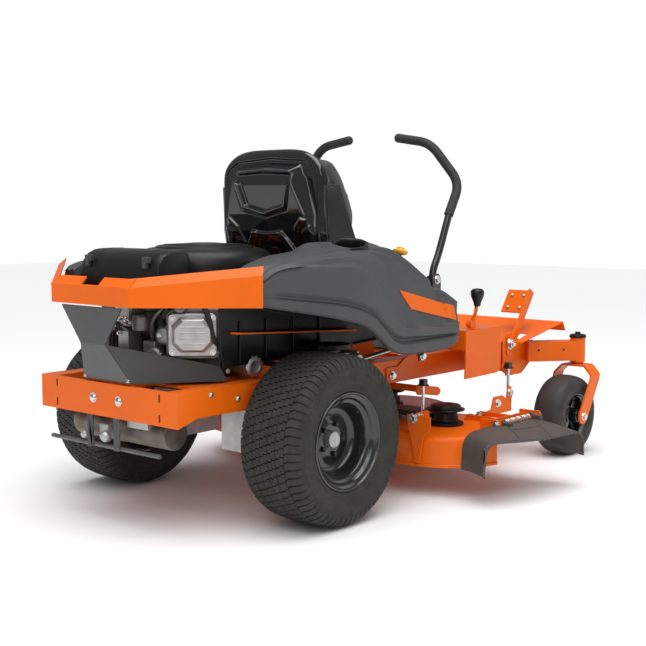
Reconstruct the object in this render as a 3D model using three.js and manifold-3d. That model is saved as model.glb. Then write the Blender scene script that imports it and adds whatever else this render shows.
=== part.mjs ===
// Zero-turn riding mower: rear twin-cylinder engine, two drive wheels, two front casters,
// lap-bar steering and a three-spindle side-discharge deck hung under the frame.
//
// Millimetres, +X forward, +Y to the operator's left, +Z up. Every part is drawn in the mower's
// own frame, whose origin is on the ground under the rear axle; the exported group then moves
// that frame so that the origin sits under the middle of the whole machine.

import * as THREE from 'three';
import { mergeVertices } from 'three/addons/utils/BufferGeometryUtils.js';
import Module from 'manifold-3d';

const wasm = await Module();
wasm.setup();

// ---------------------------------------------------------------- driving dimensions
const SHEET = 5;
const GAP = 0.5;

const REAR_TYRE_R = 254;
const REAR_TYRE_WIDTH = 226;
const REAR_WHEEL_Y = 432;
const REAR_RIM_R = 136;

const CASTER_X = 1433;
const CASTER_Y = 482;
const CASTER_TRAIL = 92;
const CASTER_TYRE_R = 150;
const CASTER_TYRE_WIDTH = 122;
const CASTER_RIM_R = 80;
const FORK_HALF_WIDTH = 82;
const FORK_TOP_Z = 335;

const RAIL_Y_IN = 250;
const RAIL_Y_OUT = 300;
const RAIL_Z_LOW = 345;
const RAIL_Z_HIGH = 425;
const RAIL_X_REAR = -440;
const RAIL_X_FRONT = 1255;

const BUMPER_X = -455;
const BUMPER_Z_HIGH = 425;
const BUMPER_Z_LOW = 327;
const GUARD_REAR_X = -510;
const GUARD_REAR_HALF = 173;

const SPINDLE_X = 668;
const SPINDLE_Y = 405;
const MID_SPINDLE_X = 868;
const BLADE_R = 221;
const BLADE_Z = 124;
const SHELL_R = 238;
const DECK_Z_LOW = 98;
const DECK_Z_TOP = 197;
const CHUTE_OUTER_Y = -785;
const HINGE_Y = -626;
const HINGE_Z = 224;

const HANGER_Y = 400;
const REAR_HANGER_X = 545;
const FRONT_HANGER_X = 1071;
const SHAFT_R = 12;
const FRONT_SHAFT_X = 1168;
const FRONT_SHAFT_Z = 328;

const CONSOLE_TOP = 812;
const TANK_TOP = 772;

const LAP_BAR_X = 643;
const LAP_BAR_Y = 361;
const LAP_BAR_PIVOT_Z = 585;
const LAP_BAR_R = 12.5;
const GRIP_R = 16;

const MACHINE_X_MIN = GUARD_REAR_X;
const MACHINE_X_MAX = CASTER_X - CASTER_TRAIL + CASTER_TYRE_R;
const MACHINE_Y_MIN = CHUTE_OUTER_Y;
const MACHINE_Y_MAX = SPINDLE_Y + SHELL_R;

// ---------------------------------------------------------------- materials
const material = (color, roughness, metalness) =>
  new THREE.MeshStandardMaterial({ color, roughness, metalness });
const orange = material(0xf26a12, 0.35, 0.0);
const darkGrey = material(0x4a4a4b, 0.6, 0.0);
const seatGrey = material(0x3d3d3e, 0.7, 0.0);
const gloss = material(0x0d0d0e, 0.15, 0.0);
const black = material(0x161616, 0.5, 0.0);
const tyreBlack = material(0x1d1c1b, 0.85, 0.0);
const castMetal = material(0xb9b9b7, 0.45, 0.9);
const zinc = material(0xb0b2b4, 0.3, 1.0);
const chuteGrey = material(0x4a4340, 0.7, 0.0);
const yellow = material(0xf2a516, 0.4, 0.0);

// ---------------------------------------------------------------- solids and booleans
// A geometry as a closed solid; a geometry whose faces point inwards is turned inside out first.
function solid(geometry) {
  let bare = geometry.clone();
  bare.deleteAttribute('normal');
  bare.deleteAttribute('uv');
  bare = mergeVertices(bare, 1e-3);
  const position = bare.getAttribute('position');
  const corners = Array.from(bare.getIndex().array);
  const triangles = [];
  let volume = 0;
  const [a, b, c] = [new THREE.Vector3(), new THREE.Vector3(), new THREE.Vector3()];
  for (let i = 0; i < corners.length; i += 3) {
    const [p, q, r] = corners.slice(i, i + 3);
    if (p === q || q === r || r === p) {
      continue;
    }
    triangles.push([p, q, r]);
    a.fromBufferAttribute(position, p);
    b.fromBufferAttribute(position, q);
    c.fromBufferAttribute(position, r);
    volume += a.dot(b.cross(c));
  }
  const ordered = volume < 0 ? triangles.map(([p, q, r]) => [p, r, q]) : triangles;
  return new wasm.Manifold(new wasm.Mesh({
    numProp: 3,
    vertProperties: new Float32Array(position.array),
    triVerts: new Uint32Array(ordered.flat()),
  }));
}

function geometryOf(manifold) {
  const mesh = manifold.getMesh();
  const geometry = new THREE.BufferGeometry();
  geometry.setAttribute('position', new THREE.BufferAttribute(mesh.vertProperties, 3));
  geometry.setIndex(new THREE.BufferAttribute(mesh.triVerts, 1));
  return geometry;
}

const join = (...geometries) =>
  geometryOf(geometries.map(solid).reduce((whole, piece) => whole.add(piece)));

const cut = (geometry, ...tools) =>
  geometryOf(tools.map(solid).reduce((whole, tool) => whole.subtract(tool), solid(geometry)));

const common = (first, second) => geometryOf(solid(first).intersect(solid(second)));

// The same solid on the other side of the machine's middle plane.
const mirrored = (geometry) => {
  const copy = geometry.clone();
  copy.scale(1, -1, 1);
  return geometryOf(solid(copy));
};

// ---------------------------------------------------------------- basic shapes
function box(xMin, xMax, yMin, yMax, zMin, zMax) {
  const geometry = new THREE.BoxGeometry(xMax - xMin, yMax - yMin, zMax - zMin);
  geometry.translate((xMin + xMax) / 2, (yMin + yMax) / 2, (zMin + zMax) / 2);
  return geometry;
}

function extruded(outline, depth) {
  const shape = new THREE.Shape(outline.map(([x, y]) => new THREE.Vector2(x, y)));
  return new THREE.ExtrudeGeometry(shape, { depth, bevelEnabled: false });
}

// An outline in X and Z, given thickness across the machine.
function plateXZ(outline, yMin, yMax) {
  const geometry = extruded(outline, yMax - yMin);
  geometry.rotateX(Math.PI / 2);
  geometry.translate(0, yMax, 0);
  return geometry;
}

// An outline in X and Y, given height.
function plateXY(outline, zMin, zMax) {
  const geometry = extruded(outline, zMax - zMin);
  geometry.translate(0, 0, zMin);
  return geometry;
}

// An outline in Y and Z, given length along X.
function plateYZ(outline, xMin, xMax) {
  const geometry = extruded(outline, xMax - xMin);
  geometry.applyMatrix4(new THREE.Matrix4().makeBasis(
    new THREE.Vector3(0, 1, 0), new THREE.Vector3(0, 0, 1), new THREE.Vector3(1, 0, 0)));
  geometry.translate(xMin, 0, 0);
  return geometry;
}

function rod(from, to, radius, sides = 8) {
  const start = new THREE.Vector3(...from);
  const along = new THREE.Vector3(...to).sub(start);
  const geometry = new THREE.CylinderGeometry(radius, radius, along.length(), sides);
  const turn = new THREE.Quaternion().setFromUnitVectors(
    new THREE.Vector3(0, 1, 0), along.clone().normalize());
  geometry.applyQuaternion(turn);
  geometry.translate(...start.addScaledVector(along, 0.5).toArray());
  return geometry;
}

// A flat bar of a given width (square to the run) and thickness (across the machine).
function bar(from, to, width, yMin, yMax) {
  const run = new THREE.Vector2(to[0] - from[0], to[1] - from[1]);
  const side = new THREE.Vector2(-run.y, run.x).setLength(width / 2);
  return plateXZ([
    [from[0] + side.x, from[1] + side.y],
    [from[0] - side.x, from[1] - side.y],
    [to[0] - side.x, to[1] - side.y],
    [to[0] + side.x, to[1] + side.y],
  ], yMin, yMax);
}

// A bent round bar through corner points, with each corner rounded to a bend radius.
function bentBar(points, radius, bend, sides = 8) {
  const corners = points.map((point) => new THREE.Vector3(...point));
  const path = new THREE.CurvePath();
  let last = corners[0];
  for (let i = 1; i < corners.length - 1; i += 1) {
    const before = corners[i].clone().sub(corners[i - 1]).setLength(bend);
    const after = corners[i + 1].clone().sub(corners[i]).setLength(bend);
    const enter = corners[i].clone().sub(before);
    const leave = corners[i].clone().add(after);
    path.add(new THREE.LineCurve3(last, enter));
    path.add(new THREE.QuadraticBezierCurve3(enter, corners[i], leave));
    last = leave;
  }
  path.add(new THREE.LineCurve3(last, corners.at(-1)));
  const ring = [];
  for (let i = 0; i < sides; i += 1) {
    const angle = (i / sides) * 2 * Math.PI;
    ring.push(new THREE.Vector2(radius * Math.cos(angle), radius * Math.sin(angle)));
  }
  return new THREE.ExtrudeGeometry(new THREE.Shape(ring), { steps: 16, extrudePath: path });
}

// A turned piece about a line along Y through (x, y, z); the profile is [radius, offset along Y].
function turnedY(profile, [x, y, z], segments) {
  const points = profile.map(([radius, along]) => new THREE.Vector2(radius, along));
  const geometry = new THREE.LatheGeometry(points, segments);
  geometry.translate(x, y, z);
  return geometry;
}

// A turned piece about a vertical line through (x, y); the profile is [radius, height].
function turnedZ(profile, [x, y], segments) {
  const points = profile.map(([radius, height]) => new THREE.Vector2(radius, height));
  const geometry = new THREE.LatheGeometry(points, segments);
  geometry.rotateX(Math.PI / 2);
  geometry.translate(x, y, 0);
  return geometry;
}

const disc = (x, y, radius, zMin, zMax, sides) =>
  turnedZ([[0, zMin], [radius, zMin], [radius, zMax], [0, zMax]], [x, y], sides);

// A solid between two outlines in X and Z with the same number of points, at two places in Y.
function loft(firstOutline, yFirst, secondOutline, ySecond) {
  const toPoints = (outline) => outline.map(([x, z]) => new THREE.Vector2(x, z));
  const clockwise = THREE.ShapeUtils.isClockWise(toPoints(firstOutline));
  const first = clockwise ? [...firstOutline].reverse() : firstOutline;
  const second = clockwise ? [...secondOutline].reverse() : secondOutline;
  const count = first.length;
  const vertices = [];
  for (const [x, z] of first) {
    vertices.push(x, yFirst, z);
  }
  for (const [x, z] of second) {
    vertices.push(x, ySecond, z);
  }
  const index = [];
  for (let i = 0; i < count; i += 1) {
    const next = (i + 1) % count;
    index.push(i, next, count + i);
    index.push(next, count + next, count + i);
  }
  for (const [p, q, r] of THREE.ShapeUtils.triangulateShape(toPoints(first), [])) {
    index.push(p, r, q);
  }
  for (const [p, q, r] of THREE.ShapeUtils.triangulateShape(toPoints(second), [])) {
    index.push(count + p, count + q, count + r);
  }
  const geometry = new THREE.BufferGeometry();
  geometry.setAttribute('position', new THREE.Float32BufferAttribute(vertices, 3));
  geometry.setIndex(index);
  return geometry;
}

// A strip of even thickness under a line of [x, z] points.
function strip(line, thickness) {
  const under = line.map(([x, z], i) => {
    const [xBefore, zBefore] = line[Math.max(i - 1, 0)];
    const [xAfter, zAfter] = line[Math.min(i + 1, line.length - 1)];
    const side = new THREE.Vector2(zAfter - zBefore, xBefore - xAfter).setLength(thickness);
    return [x + side.x, z + side.y];
  });
  return [...line, ...under.reverse()];
}

// ---------------------------------------------------------------- the assembly
const mower = new THREE.Group();
mower.position.set(
  -(MACHINE_X_MIN + MACHINE_X_MAX) / 2,
  -(MACHINE_Y_MIN + MACHINE_Y_MAX) / 2,
  0,
);
const assembly = new THREE.Group();
assembly.add(mower);

function add(name, geometry, look) {
  const closed = geometryOf(solid(geometry));
  closed.computeVertexNormals();
  const mesh = new THREE.Mesh(closed, look);
  mesh.name = name;
  mower.add(mesh);
}

function addPair(name, geometryOnRight, look) {
  add(`${name}_r`, geometryOnRight, look);
  add(`${name}_l`, mirrored(geometryOnRight), look);
}

// ---------------------------------------------------------------- chassis
function addChassis() {
  addPair('frame_rail', box(RAIL_X_REAR, RAIL_X_FRONT, -RAIL_Y_OUT, -RAIL_Y_IN, RAIL_Z_LOW,
    RAIL_Z_HIGH), orange);
  add('front_cross_tube', box(RAIL_X_FRONT + GAP, RAIL_X_FRONT + 60, -338, 338, RAIL_Z_LOW,
    RAIL_Z_HIGH), orange);
  add('engine_plate', cut(
    box(-330, 330, -RAIL_Y_IN + GAP, RAIL_Y_IN - GAP, 412, 420),
    disc(CRANK_X, 0, 45, 400, 430, 20)), orange);
  addPair('caster_arm', casterArm(), orange);
}

// A front gusset plate, the slanted arm tube and the vertical swivel housing with its bore.
function casterArm() {
  const gusset = plateXZ([
    [1110, 425], [1110, 344], [1150, 304], [1253, 304], [1334, 355], [1334, 425],
  ], -345, -339);
  const halfWidth = 28;
  const root = new THREE.Vector2(1272, -352);
  const tip = new THREE.Vector2(CASTER_X, -CASTER_Y);
  const side = tip.clone().sub(root).normalize().rotateAround(new THREE.Vector2(), Math.PI / 2)
    .multiplyScalar(halfWidth);
  const arm = plateXY([
    [root.x + side.x, root.y + side.y],
    [root.x - side.x, root.y - side.y],
    [tip.x - side.x, tip.y - side.y],
    [tip.x + side.x, tip.y + side.y],
  ], 349, 424);
  const behind = box(1200, 1420, -339.5, -250, 340, 430);
  const housing = disc(tip.x, tip.y, 29, 342, 434, 24);
  const pivotBoss = rod([1140, -345, 400], [1140, -352, 400], 18, 16);
  const shaftHole = rod([FRONT_SHAFT_X, -360, FRONT_SHAFT_Z], [FRONT_SHAFT_X, -330,
    FRONT_SHAFT_Z], SHAFT_R + 4, 16);
  return cut(join(gusset, cut(arm, behind), housing, pivotBoss),
    disc(tip.x, tip.y, 15, 330, 450, 16), shaftHole);
}

// The bent rear bumper: a back plate with two side plates that run forward along the rails.
function addBumper() {
  const outer = 302 + SHEET;
  const back = box(BUMPER_X, BUMPER_X + SHEET, -outer, outer, BUMPER_Z_LOW, BUMPER_Z_HIGH);
  const sideOutline = [
    [BUMPER_X, BUMPER_Z_HIGH], [BUMPER_X, BUMPER_Z_LOW], [-375, 350], [-150, 350],
    [-150, BUMPER_Z_HIGH],
  ];
  const flange = box(BUMPER_X, BUMPER_X + 14.5, -outer, outer, BUMPER_Z_HIGH - 4, BUMPER_Z_HIGH);
  const bumper = join(back, flange,
    plateXZ(sideOutline, -outer, -302), plateXZ(sideOutline, 302, outer));
  const slots = [];
  for (const y of [-231, 231]) {
    for (const z of [348, 405]) {
      slots.push(box(BUMPER_X - 5, BUMPER_X + 10, y - 4, y + 4, z - 11, z + 11));
    }
  }
  const straps = [];
  for (const y of [-38, 82]) {
    straps.push(box(BUMPER_X + SHEET - 1, BUMPER_X + 10, y - 11, y + 11, 232, 345));
  }
  const crossRod = rod([BUMPER_X + 14, -215, 237], [BUMPER_X + 14, 276, 237], 6);
  add('rear_bumper', join(cut(bumper, ...slots), ...straps, crossRod), orange);
}

// The orange guard round the engine's top: one bent sheet with a bevel along its top edge.
function addGuard() {
  const rearZ = [655, 709];
  const frontX = -292;
  const frontY = 435;
  const rearBar = box(GUARD_REAR_X, GUARD_REAR_X + SHEET, -GUARD_REAR_HALF, GUARD_REAR_HALF,
    ...rearZ);
  const side = wall([GUARD_REAR_X, GUARD_REAR_HALF], [frontX, frontY], 655, 709, 655, 742);
  const bevelSide = lid([GUARD_REAR_X, GUARD_REAR_HALF], [frontX, frontY], 709, 742, 26, 24);
  const bevelRear = plateXZ([
    [GUARD_REAR_X, 709], [GUARD_REAR_X + 26, 733], [GUARD_REAR_X + 26, 727],
    [GUARD_REAR_X + SHEET, 705], [GUARD_REAR_X, 705],
  ], -GUARD_REAR_HALF - 2, GUARD_REAR_HALF + 2);
  const notch = box(GUARD_REAR_X - 1, GUARD_REAR_X + 40, -40, 40, 711, 750);
  add('engine_guard', join(cut(bevelRear, notch), rearBar, side, mirrored(side), bevelSide,
    mirrored(bevelSide)), orange);
}

// A vertical sheet from one plan point to another, whose bottom and top edges may both slope.
function wall([x0, y0], [x1, y1], low0, high0, low1, high1) {
  const run = new THREE.Vector2(x1 - x0, y1 - y0).setLength(SHEET);
  const into = [run.y, -run.x];
  return loftSheet([[x0, y0, low0], [x1, y1, low1], [x1, y1, high1], [x0, y0, high0]],
    [...into, 0]);
}

// A sheet that leans inwards and up from the top edge of a wall.
function lid([x0, y0], [x1, y1], z0, z1, reach, rise) {
  const run = new THREE.Vector2(x1 - x0, y1 - y0).normalize();
  const into = [run.y * reach, -run.x * reach];
  return loftSheet([
    [x0, y0, z0 - 1], [x1, y1, z1 - 1],
    [x1 + into[0], y1 + into[1], z1 + rise], [x0 + into[0], y0 + into[1], z0 + rise],
  ], [0, 0, -SHEET - 1]);
}

// A four-cornered sheet and the same sheet moved by an offset, closed round the edges.
function loftSheet(corners, offset) {
  const moved = corners.map(([x, y, z]) => [x + offset[0], y + offset[1], z + offset[2]]);
  const vertices = [...corners, ...moved].flat();
  const faces = [[0, 1, 2, 3], [7, 6, 5, 4], [1, 0, 4, 5], [2, 1, 5, 6], [3, 2, 6, 7],
    [0, 3, 7, 4]];
  const index = faces.flatMap(([a, b, c, d]) => [a, b, c, a, c, d]);
  const geometry = new THREE.BufferGeometry();
  geometry.setAttribute('position', new THREE.Float32BufferAttribute(vertices, 3));
  geometry.setIndex(index);
  return geometry;
}

// The dark V plate that carries the guard, with a wing along each side of the engine.
function addGuardSupport() {
  const upper = loftSheet([
    [-504, -134, 650], [-504, 134, 650], [-500, 54, 543], [-500, -54, 543],
  ], [SHEET, 0, 0]);
  const lower = loftSheet([
    [-500, -54, 545], [-500, 54, 545], [-449, 106, 431], [-449, -106, 431],
  ], [SHEET, 0, 0]);
  const wing = loftSheet([
    [-498, -52, 544], [-449, -104, 431], [-200, -240, 426], [-215, -221.96, 470],
  ], [2, SHEET, 0]);
  add('guard_support', join(upper, lower, wing, mirrored(wing)), darkGrey);
}

// ---------------------------------------------------------------- engine
const CYLINDER_ANGLE = THREE.MathUtils.degToRad(45);
const CYLINDER_Z = 565;
const CRANK_X = -100;
const BLOWER_X = -62;

// A piece drawn pointing along -X from the crankshaft, turned to the right-hand cylinder's line.
const onRightCylinder = (geometry) => {
  geometry.rotateZ(CYLINDER_ANGLE);
  geometry.translate(CRANK_X, 0, 0);
  return geometry;
};

function addEngine() {
  const fins = [];
  for (let i = 0; i < 6; i += 1) {
    const x = -165 - i * 14;
    fins.push(onRightCylinder(box(x - 5, x, -74, 74, CYLINDER_Z - 70, CYLINDER_Z + 70)));
  }
  const barrel = onRightCylinder(box(-258, -60, -52, 52, CYLINDER_Z - 50, CYLINDER_Z + 50));
  const bank = join(barrel, ...fins);
  const crankcase = turnedZ([
    [0, 421], [142, 421], [158, 440], [158, 480], [134, 500], [134, 668], [0, 668],
  ], [CRANK_X, 0], 20);
  add('engine_block', join(crankcase, bank, mirrored(bank)), castMetal);
  const cover = join(
    onRightCylinder(box(-286, -258 - GAP, -68, 68, CYLINDER_Z - 60, CYLINDER_Z + 60)),
    onRightCylinder(box(-294, -280, -52, 52, CYLINDER_Z - 44, CYLINDER_Z + 44)));
  addPair('valve_cover', cover, castMetal);
  add('blower_housing', turnedZ([
    [0, 669], [200, 669], [212, 680], [212, 770], [190, 802], [158, 806], [158, 790], [0, 790],
  ], [BLOWER_X, 0], 24), black);
  add('fan_screen', turnedZ([
    [0, 792], [150, 792], [152, 800], [145, 816], [60, 820], [0, 820],
  ], [BLOWER_X, 0], 24), black);
  const cleaner = common(
    rod([-345, -175, 742], [-345, 175, 742], 66, 20),
    box(-430, -276, -200, 200, 671, 808));
  add('air_cleaner', cleaner, black);
  add('oil_filter', rod([-95, -170, 462], [-112, -262, 462], 30, 16), castMetal);
  const crankPulley = turnedZ([
    [0, 300], [22, 300], [22, 352], [62, 352], [70, 360], [62, 368], [70, 376], [62, 392],
    [30, 392], [30, 411], [0, 411],
  ], [CRANK_X, 0], 14);
  add('crank_pulley', crankPulley, black);
  const muffler = common(
    rod([-372, -205, 288], [-372, 205, 288], 46, 16), box(-425, -320, -210, 210, 240, 340));
  add('muffler', muffler, castMetal);
}

// ---------------------------------------------------------------- drive
function addDrive() {
  const gearCase = join(
    box(-110, 110, -235, -120, 195, 330),
    rod([0, -230, REAR_TYRE_R], [0, -322, REAR_TYRE_R], 38, 20),
    rod([0, -235, REAR_TYRE_R], [0, -275, REAR_TYRE_R], 62, 20),
    box(-60, 60, -246, -150, 322, 344.5));
  addPair('transaxle', gearCase, castMetal);
  const half = REAR_TYRE_WIDTH / 2;
  const tyre = turnedY([
    [REAR_RIM_R + 2, -half + 18], [REAR_RIM_R + 34, -half + 3], [215, -half],
    [240, -half + 10], [REAR_TYRE_R, -half + 34], [REAR_TYRE_R, half - 34], [240, half - 10],
    [215, half], [REAR_RIM_R + 34, half - 3], [REAR_RIM_R + 2, half - 18],
    [REAR_RIM_R + 2, -half + 18],
  ], [0, -REAR_WHEEL_Y, REAR_TYRE_R], 36);
  addPair('rear_tyre', tyre, tyreBlack);
  const rim = turnedY([
    [0, -30], [30, -34], [52, -34], [60, -22], [88, -22], [100, -40], [112, -half + 22],
    [REAR_RIM_R + 1, -half + 16], [REAR_RIM_R + 1, half - 16], [120, half - 26], [110, 30],
    [45, 20], [45, 60], [36, half - 4], [0, half - 4],
  ], [0, -REAR_WHEEL_Y, REAR_TYRE_R], 24);
  addPair('rear_rim', rim, black);
}

// ---------------------------------------------------------------- front casters
function addCasters() {
  const axleX = CASTER_X - CASTER_TRAIL;
  const half = FORK_HALF_WIDTH;
  const legThick = 8;
  const topPlate = box(CASTER_X - 34, CASTER_X + 34, -CASTER_Y - 46, -CASTER_Y + 46,
    FORK_TOP_Z - legThick, FORK_TOP_Z);
  const shoulders = [];
  for (const side of [-1, 1]) {
    shoulders.push(loftSheet([
      [CASTER_X - 34, -CASTER_Y + side * 45, FORK_TOP_Z],
      [CASTER_X + 34, -CASTER_Y + side * 45, FORK_TOP_Z],
      [CASTER_X + 30, -CASTER_Y + side * half, FORK_TOP_Z - 42],
      [CASTER_X - 38, -CASTER_Y + side * half, FORK_TOP_Z - 42],
    ], [0, 0, -legThick]));
    const face = -CASTER_Y + side * (half - legThick / 2);
    shoulders.push(bar([CASTER_X - 8, FORK_TOP_Z - 34], [axleX, CASTER_TYRE_R], 58,
      face - legThick / 2, face + legThick / 2));
    shoulders.push(rod([axleX, face - legThick / 2, CASTER_TYRE_R],
      [axleX, face + legThick / 2, CASTER_TYRE_R], 29, 20));
  }
  const stem = disc(CASTER_X, -CASTER_Y, 12, FORK_TOP_Z - 4, 446, 16);
  const cap = disc(CASTER_X, -CASTER_Y, 30, 435, 447, 20);
  const collar = disc(CASTER_X, -CASTER_Y, 22, FORK_TOP_Z - 2, 341, 20);
  const boltHead = rod([axleX, -CASTER_Y - half - 10, CASTER_TYRE_R],
    [axleX, -CASTER_Y + half + 10, CASTER_TYRE_R], 9, 12);
  addPair('caster_fork', join(topPlate, ...shoulders, stem, cap, collar, boltHead), orange);
  const tyreHalf = CASTER_TYRE_WIDTH / 2;
  const tyre = turnedY([
    [CASTER_RIM_R + 1, -tyreHalf + 12], [CASTER_RIM_R + 18, -tyreHalf + 2],
    [118, -tyreHalf], [138, -tyreHalf + 14], [CASTER_TYRE_R, -tyreHalf + 36],
    [CASTER_TYRE_R, tyreHalf - 36], [138, tyreHalf - 14], [118, tyreHalf],
    [CASTER_RIM_R + 18, tyreHalf - 2], [CASTER_RIM_R + 1, tyreHalf - 12],
    [CASTER_RIM_R + 1, -tyreHalf + 12],
  ], [axleX, -CASTER_Y, CASTER_TYRE_R], 28);
  addPair('caster_tyre', tyre, tyreBlack);
  const bore = 11;
  const rim = turnedY([
    [bore, -62], [26, -62], [30, -30], [58, -26], [66, -tyreHalf + 14],
    [CASTER_RIM_R, -tyreHalf + 10], [CASTER_RIM_R, tyreHalf - 10], [66, tyreHalf - 14],
    [58, 26], [30, 30], [26, 62], [bore, 62], [bore, -62],
  ], [axleX, -CASTER_Y, CASTER_TYRE_R], 16);
  addPair('caster_rim', rim, black);
}

// ---------------------------------------------------------------- bodywork
// Each fender is a moulded cover, open underneath: a ruled flank between its crest line and the
// top of the console beside the seat, tapered in plan to meet the guard. The inset gives the
// hollow inside it, and the drop takes that hollow out through the bottom.
function fenderBlock(inset, drop, consoleTop) {
  const outerY = -533 + inset;
  const innerY = -400;
  const underside = [
    [354, 482 - drop], [241, 490 - drop], [190, 515 - drop], [134, 559 - drop],
    [93, 582 - drop], [-61, 621 - drop],
  ];
  const crest = [
    [-252, 738 - inset], [-150, 763 - inset], [34, 757 - inset], [99 - inset, 735 - inset],
    [242 - inset, 607 - inset], [315, 560 - inset], [620, 533 - inset], [620, 510 - drop],
    [496, 483 - drop], ...underside, [-235, 656 - drop],
  ];
  const shoulder = [
    [-235, 737 - inset], [-100, 775 - inset], [60, consoleTop - 12 - inset],
    [270 - inset, consoleTop - 14 - inset], [414 - inset, 756 - inset], [636 - inset, 644 - inset],
    [742, 592 - inset], [742, 505 - drop], [560, 490 - drop], ...underside, [-218, 652 - drop],
  ];
  const console = [
    [-200, 735 - inset], [-60, 776 - inset], [130, consoleTop - inset],
    [350 - inset, consoleTop - 6 - inset], [500 - inset, 752 - inset], [604 - inset, 690 - inset],
    [604 - inset, 495 - drop], ...underside, [-190, 648 - drop],
  ];
  const plan = [
    [-262 + inset, -245 - inset], [-262 + inset, -437 + inset], [-140, -484 + inset],
    [30, outerY], [560 - inset, outerY], [742 - inset, -404], [742 - inset, -245 - inset],
  ];
  const block = join(loft(crest, outerY - 1, shoulder, innerY - 1),
    plateXZ(console, innerY - 2, -244 - inset));
  return common(block, plateXY(plan, 300, 900));
}

function fender(consoleTop) {
  const skin = 6;
  const lapBarRelief = box(604, 700, -421, -300, 400, 900);
  return cut(fenderBlock(0, 0, consoleTop), fenderBlock(skin, 40, consoleTop), lapBarRelief);
}

function addBodywork() {
  const cup = disc(230, -345, 36, 730, 830, 20);
  const cupWall = disc(230, -345, 42, 722, CONSOLE_TOP - 5, 20);
  add('fender_r', cut(join(fender(CONSOLE_TOP), cupWall), cup), darkGrey);
  add('fender_l', mirrored(fender(TANK_TOP)), darkGrey);
  const floor = join(
    box(640, 1155, -340, 340, 430, 434),
    loftSheet([[1150, -405, 430], [1150, 405, 430], [1395, 440, 492], [1395, -440, 492]],
      [0, 0, 4]),
    loftSheet([[1393, -440, 496], [1393, 440, 496], [1412, 440, 462], [1412, -440, 462]],
      [-4, 0, -2]));
  const pedalSlot = box(1120, 1245, -376, -345, 420, 475);
  add('floor_pan', cut(floor, pedalSlot), orange);
  const side = join(
    plateXZ([[790, 505], [1010, 505], [1010, 350], [988, 340], [784, 337]], -405, -400),
    box(790, 1010, -404, -306, 500, 505),
    box(609, 792, -343, -306, 500, 505),
    box(616, 668, -343, -338, 500, 600),
    box(786, 791, -404, -306, 436, 505),
    box(1005, 1010, -404, -346, 350, 505));
  addPair('side_box', side, orange);
  const riser = join(
    box(240, 560, -180, -174, 426, 640),
    box(240, 560, 174, 180, 426, 640),
    box(240, 560, -180, 180, 634, 640));
  add('seat_riser', riser, orange);
}

// ---------------------------------------------------------------- seat
function addSeat() {
  const shellSide = [
    [236, 1113], [224, 1040], [232, 840], [262, 700], [300, 664], [610, 664], [640, 690],
    [640, 720], [590, 708], [400, 706], [338, 756], [296, 860], [262, 1040], [258, 1108],
  ];
  const shellOutline = [
    [-216, 660], [216, 660], [216, 1000], [180, 1080], [110, 1113], [-110, 1113], [-180, 1080],
    [-216, 1000],
  ];
  const shell = common(plateXZ(shellSide, -216, 216), plateYZ(shellOutline, 200, 660));
  const bolster = plateXZ([
    [250, 1046], [262, 860], [330, 712], [600, 700], [600, 740], [430, 760], [352, 825],
    [300, 1046],
  ], -216, -206);
  const feet = [];
  for (const y of [-120, 120]) {
    feet.push(box(300, 560, y - 15, y + 15, 642, 666));
  }
  add('seat_shell', join(shell, bolster, mirrored(bolster), ...feet), gloss);
  const base = common(
    plateXZ([[352, 754], [410, 714], [592, 722], [648, 764], [655, 800], [560, 850],
      [430, 838], [370, 836]], -204, 204),
    plateXY([[300, -200], [560, -200], [640, -150], [662, -80], [662, 80], [640, 150],
      [560, 200], [300, 200]], 600, 900));
  add('seat_cushion', base, seatGrey);
  const back = common(
    plateXZ([[270, 1040], [303, 860], [345, 764], [362, 840], [420, 842], [424, 900],
      [372, 1050], [318, 1113], [268, 1104]], -203, 203),
    plateYZ([[-200, 700], [200, 700], [200, 1000], [165, 1075], [105, 1110], [-105, 1110],
      [-165, 1075], [-200, 1000]], 200, 500));
  add('seat_backrest', back, seatGrey);
}

// ---------------------------------------------------------------- hand controls
function addControls() {
  const pivot = join(
    box(LAP_BAR_X - 23, LAP_BAR_X + 23, -LAP_BAR_Y - 11, -LAP_BAR_Y + 11, 566, 612),
    rod([LAP_BAR_X, -380, LAP_BAR_PIVOT_Z], [LAP_BAR_X, -344, LAP_BAR_PIVOT_Z], 13, 12));
  addPair('lap_pivot', pivot, black);
  const plate = box(LAP_BAR_X - 24, LAP_BAR_X + 24, -LAP_BAR_Y - 20, -LAP_BAR_Y - 11, 619, 708);
  const grip = [
    [741, -LAP_BAR_Y, 910], [800, -362, 1012], [780, -251, 1152], [778, -108, 1174],
  ];
  const lever = bentBar([
    [645, -LAP_BAR_Y, 643], [645, -LAP_BAR_Y, 713], [679, -LAP_BAR_Y, 769], grip[0],
  ], LAP_BAR_R, 14);
  const handle = bentBar([[735, -LAP_BAR_Y, 900], grip[1], grip[2], grip[3]], GRIP_R, 45);
  addPair('lap_bar', join(plate, lever, handle), black);
  const knob = join(
    rod([862, -372, 522], [861, -400, 598], 7),
    rod([862, -382, 521], [862, -362, 521], 14),
    sphere([861, -400, 621], 25, 14));
  add('height_lever', knob, orange);
  add('pto_knob', join(
    rod([500, -330, 762], [505, -330, 784], 8),
    turned([505, -330, 778], [0.25, 0, 1], [[0, 0], [24, 2], [26, 10], [18, 18], [0, 20]], 20),
  ), yellow);
  add('fuel_cap', turned([236, 335, TANK_TOP + 1], [0, 0, 1],
    [[0, 0], [36, 0], [36, 20], [30, 26], [0, 26]], 16), black);
}

function sphere([x, y, z], radius, segments) {
  const geometry = new THREE.SphereGeometry(radius, segments, segments / 2);
  geometry.translate(x, y, z);
  return geometry;
}

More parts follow.
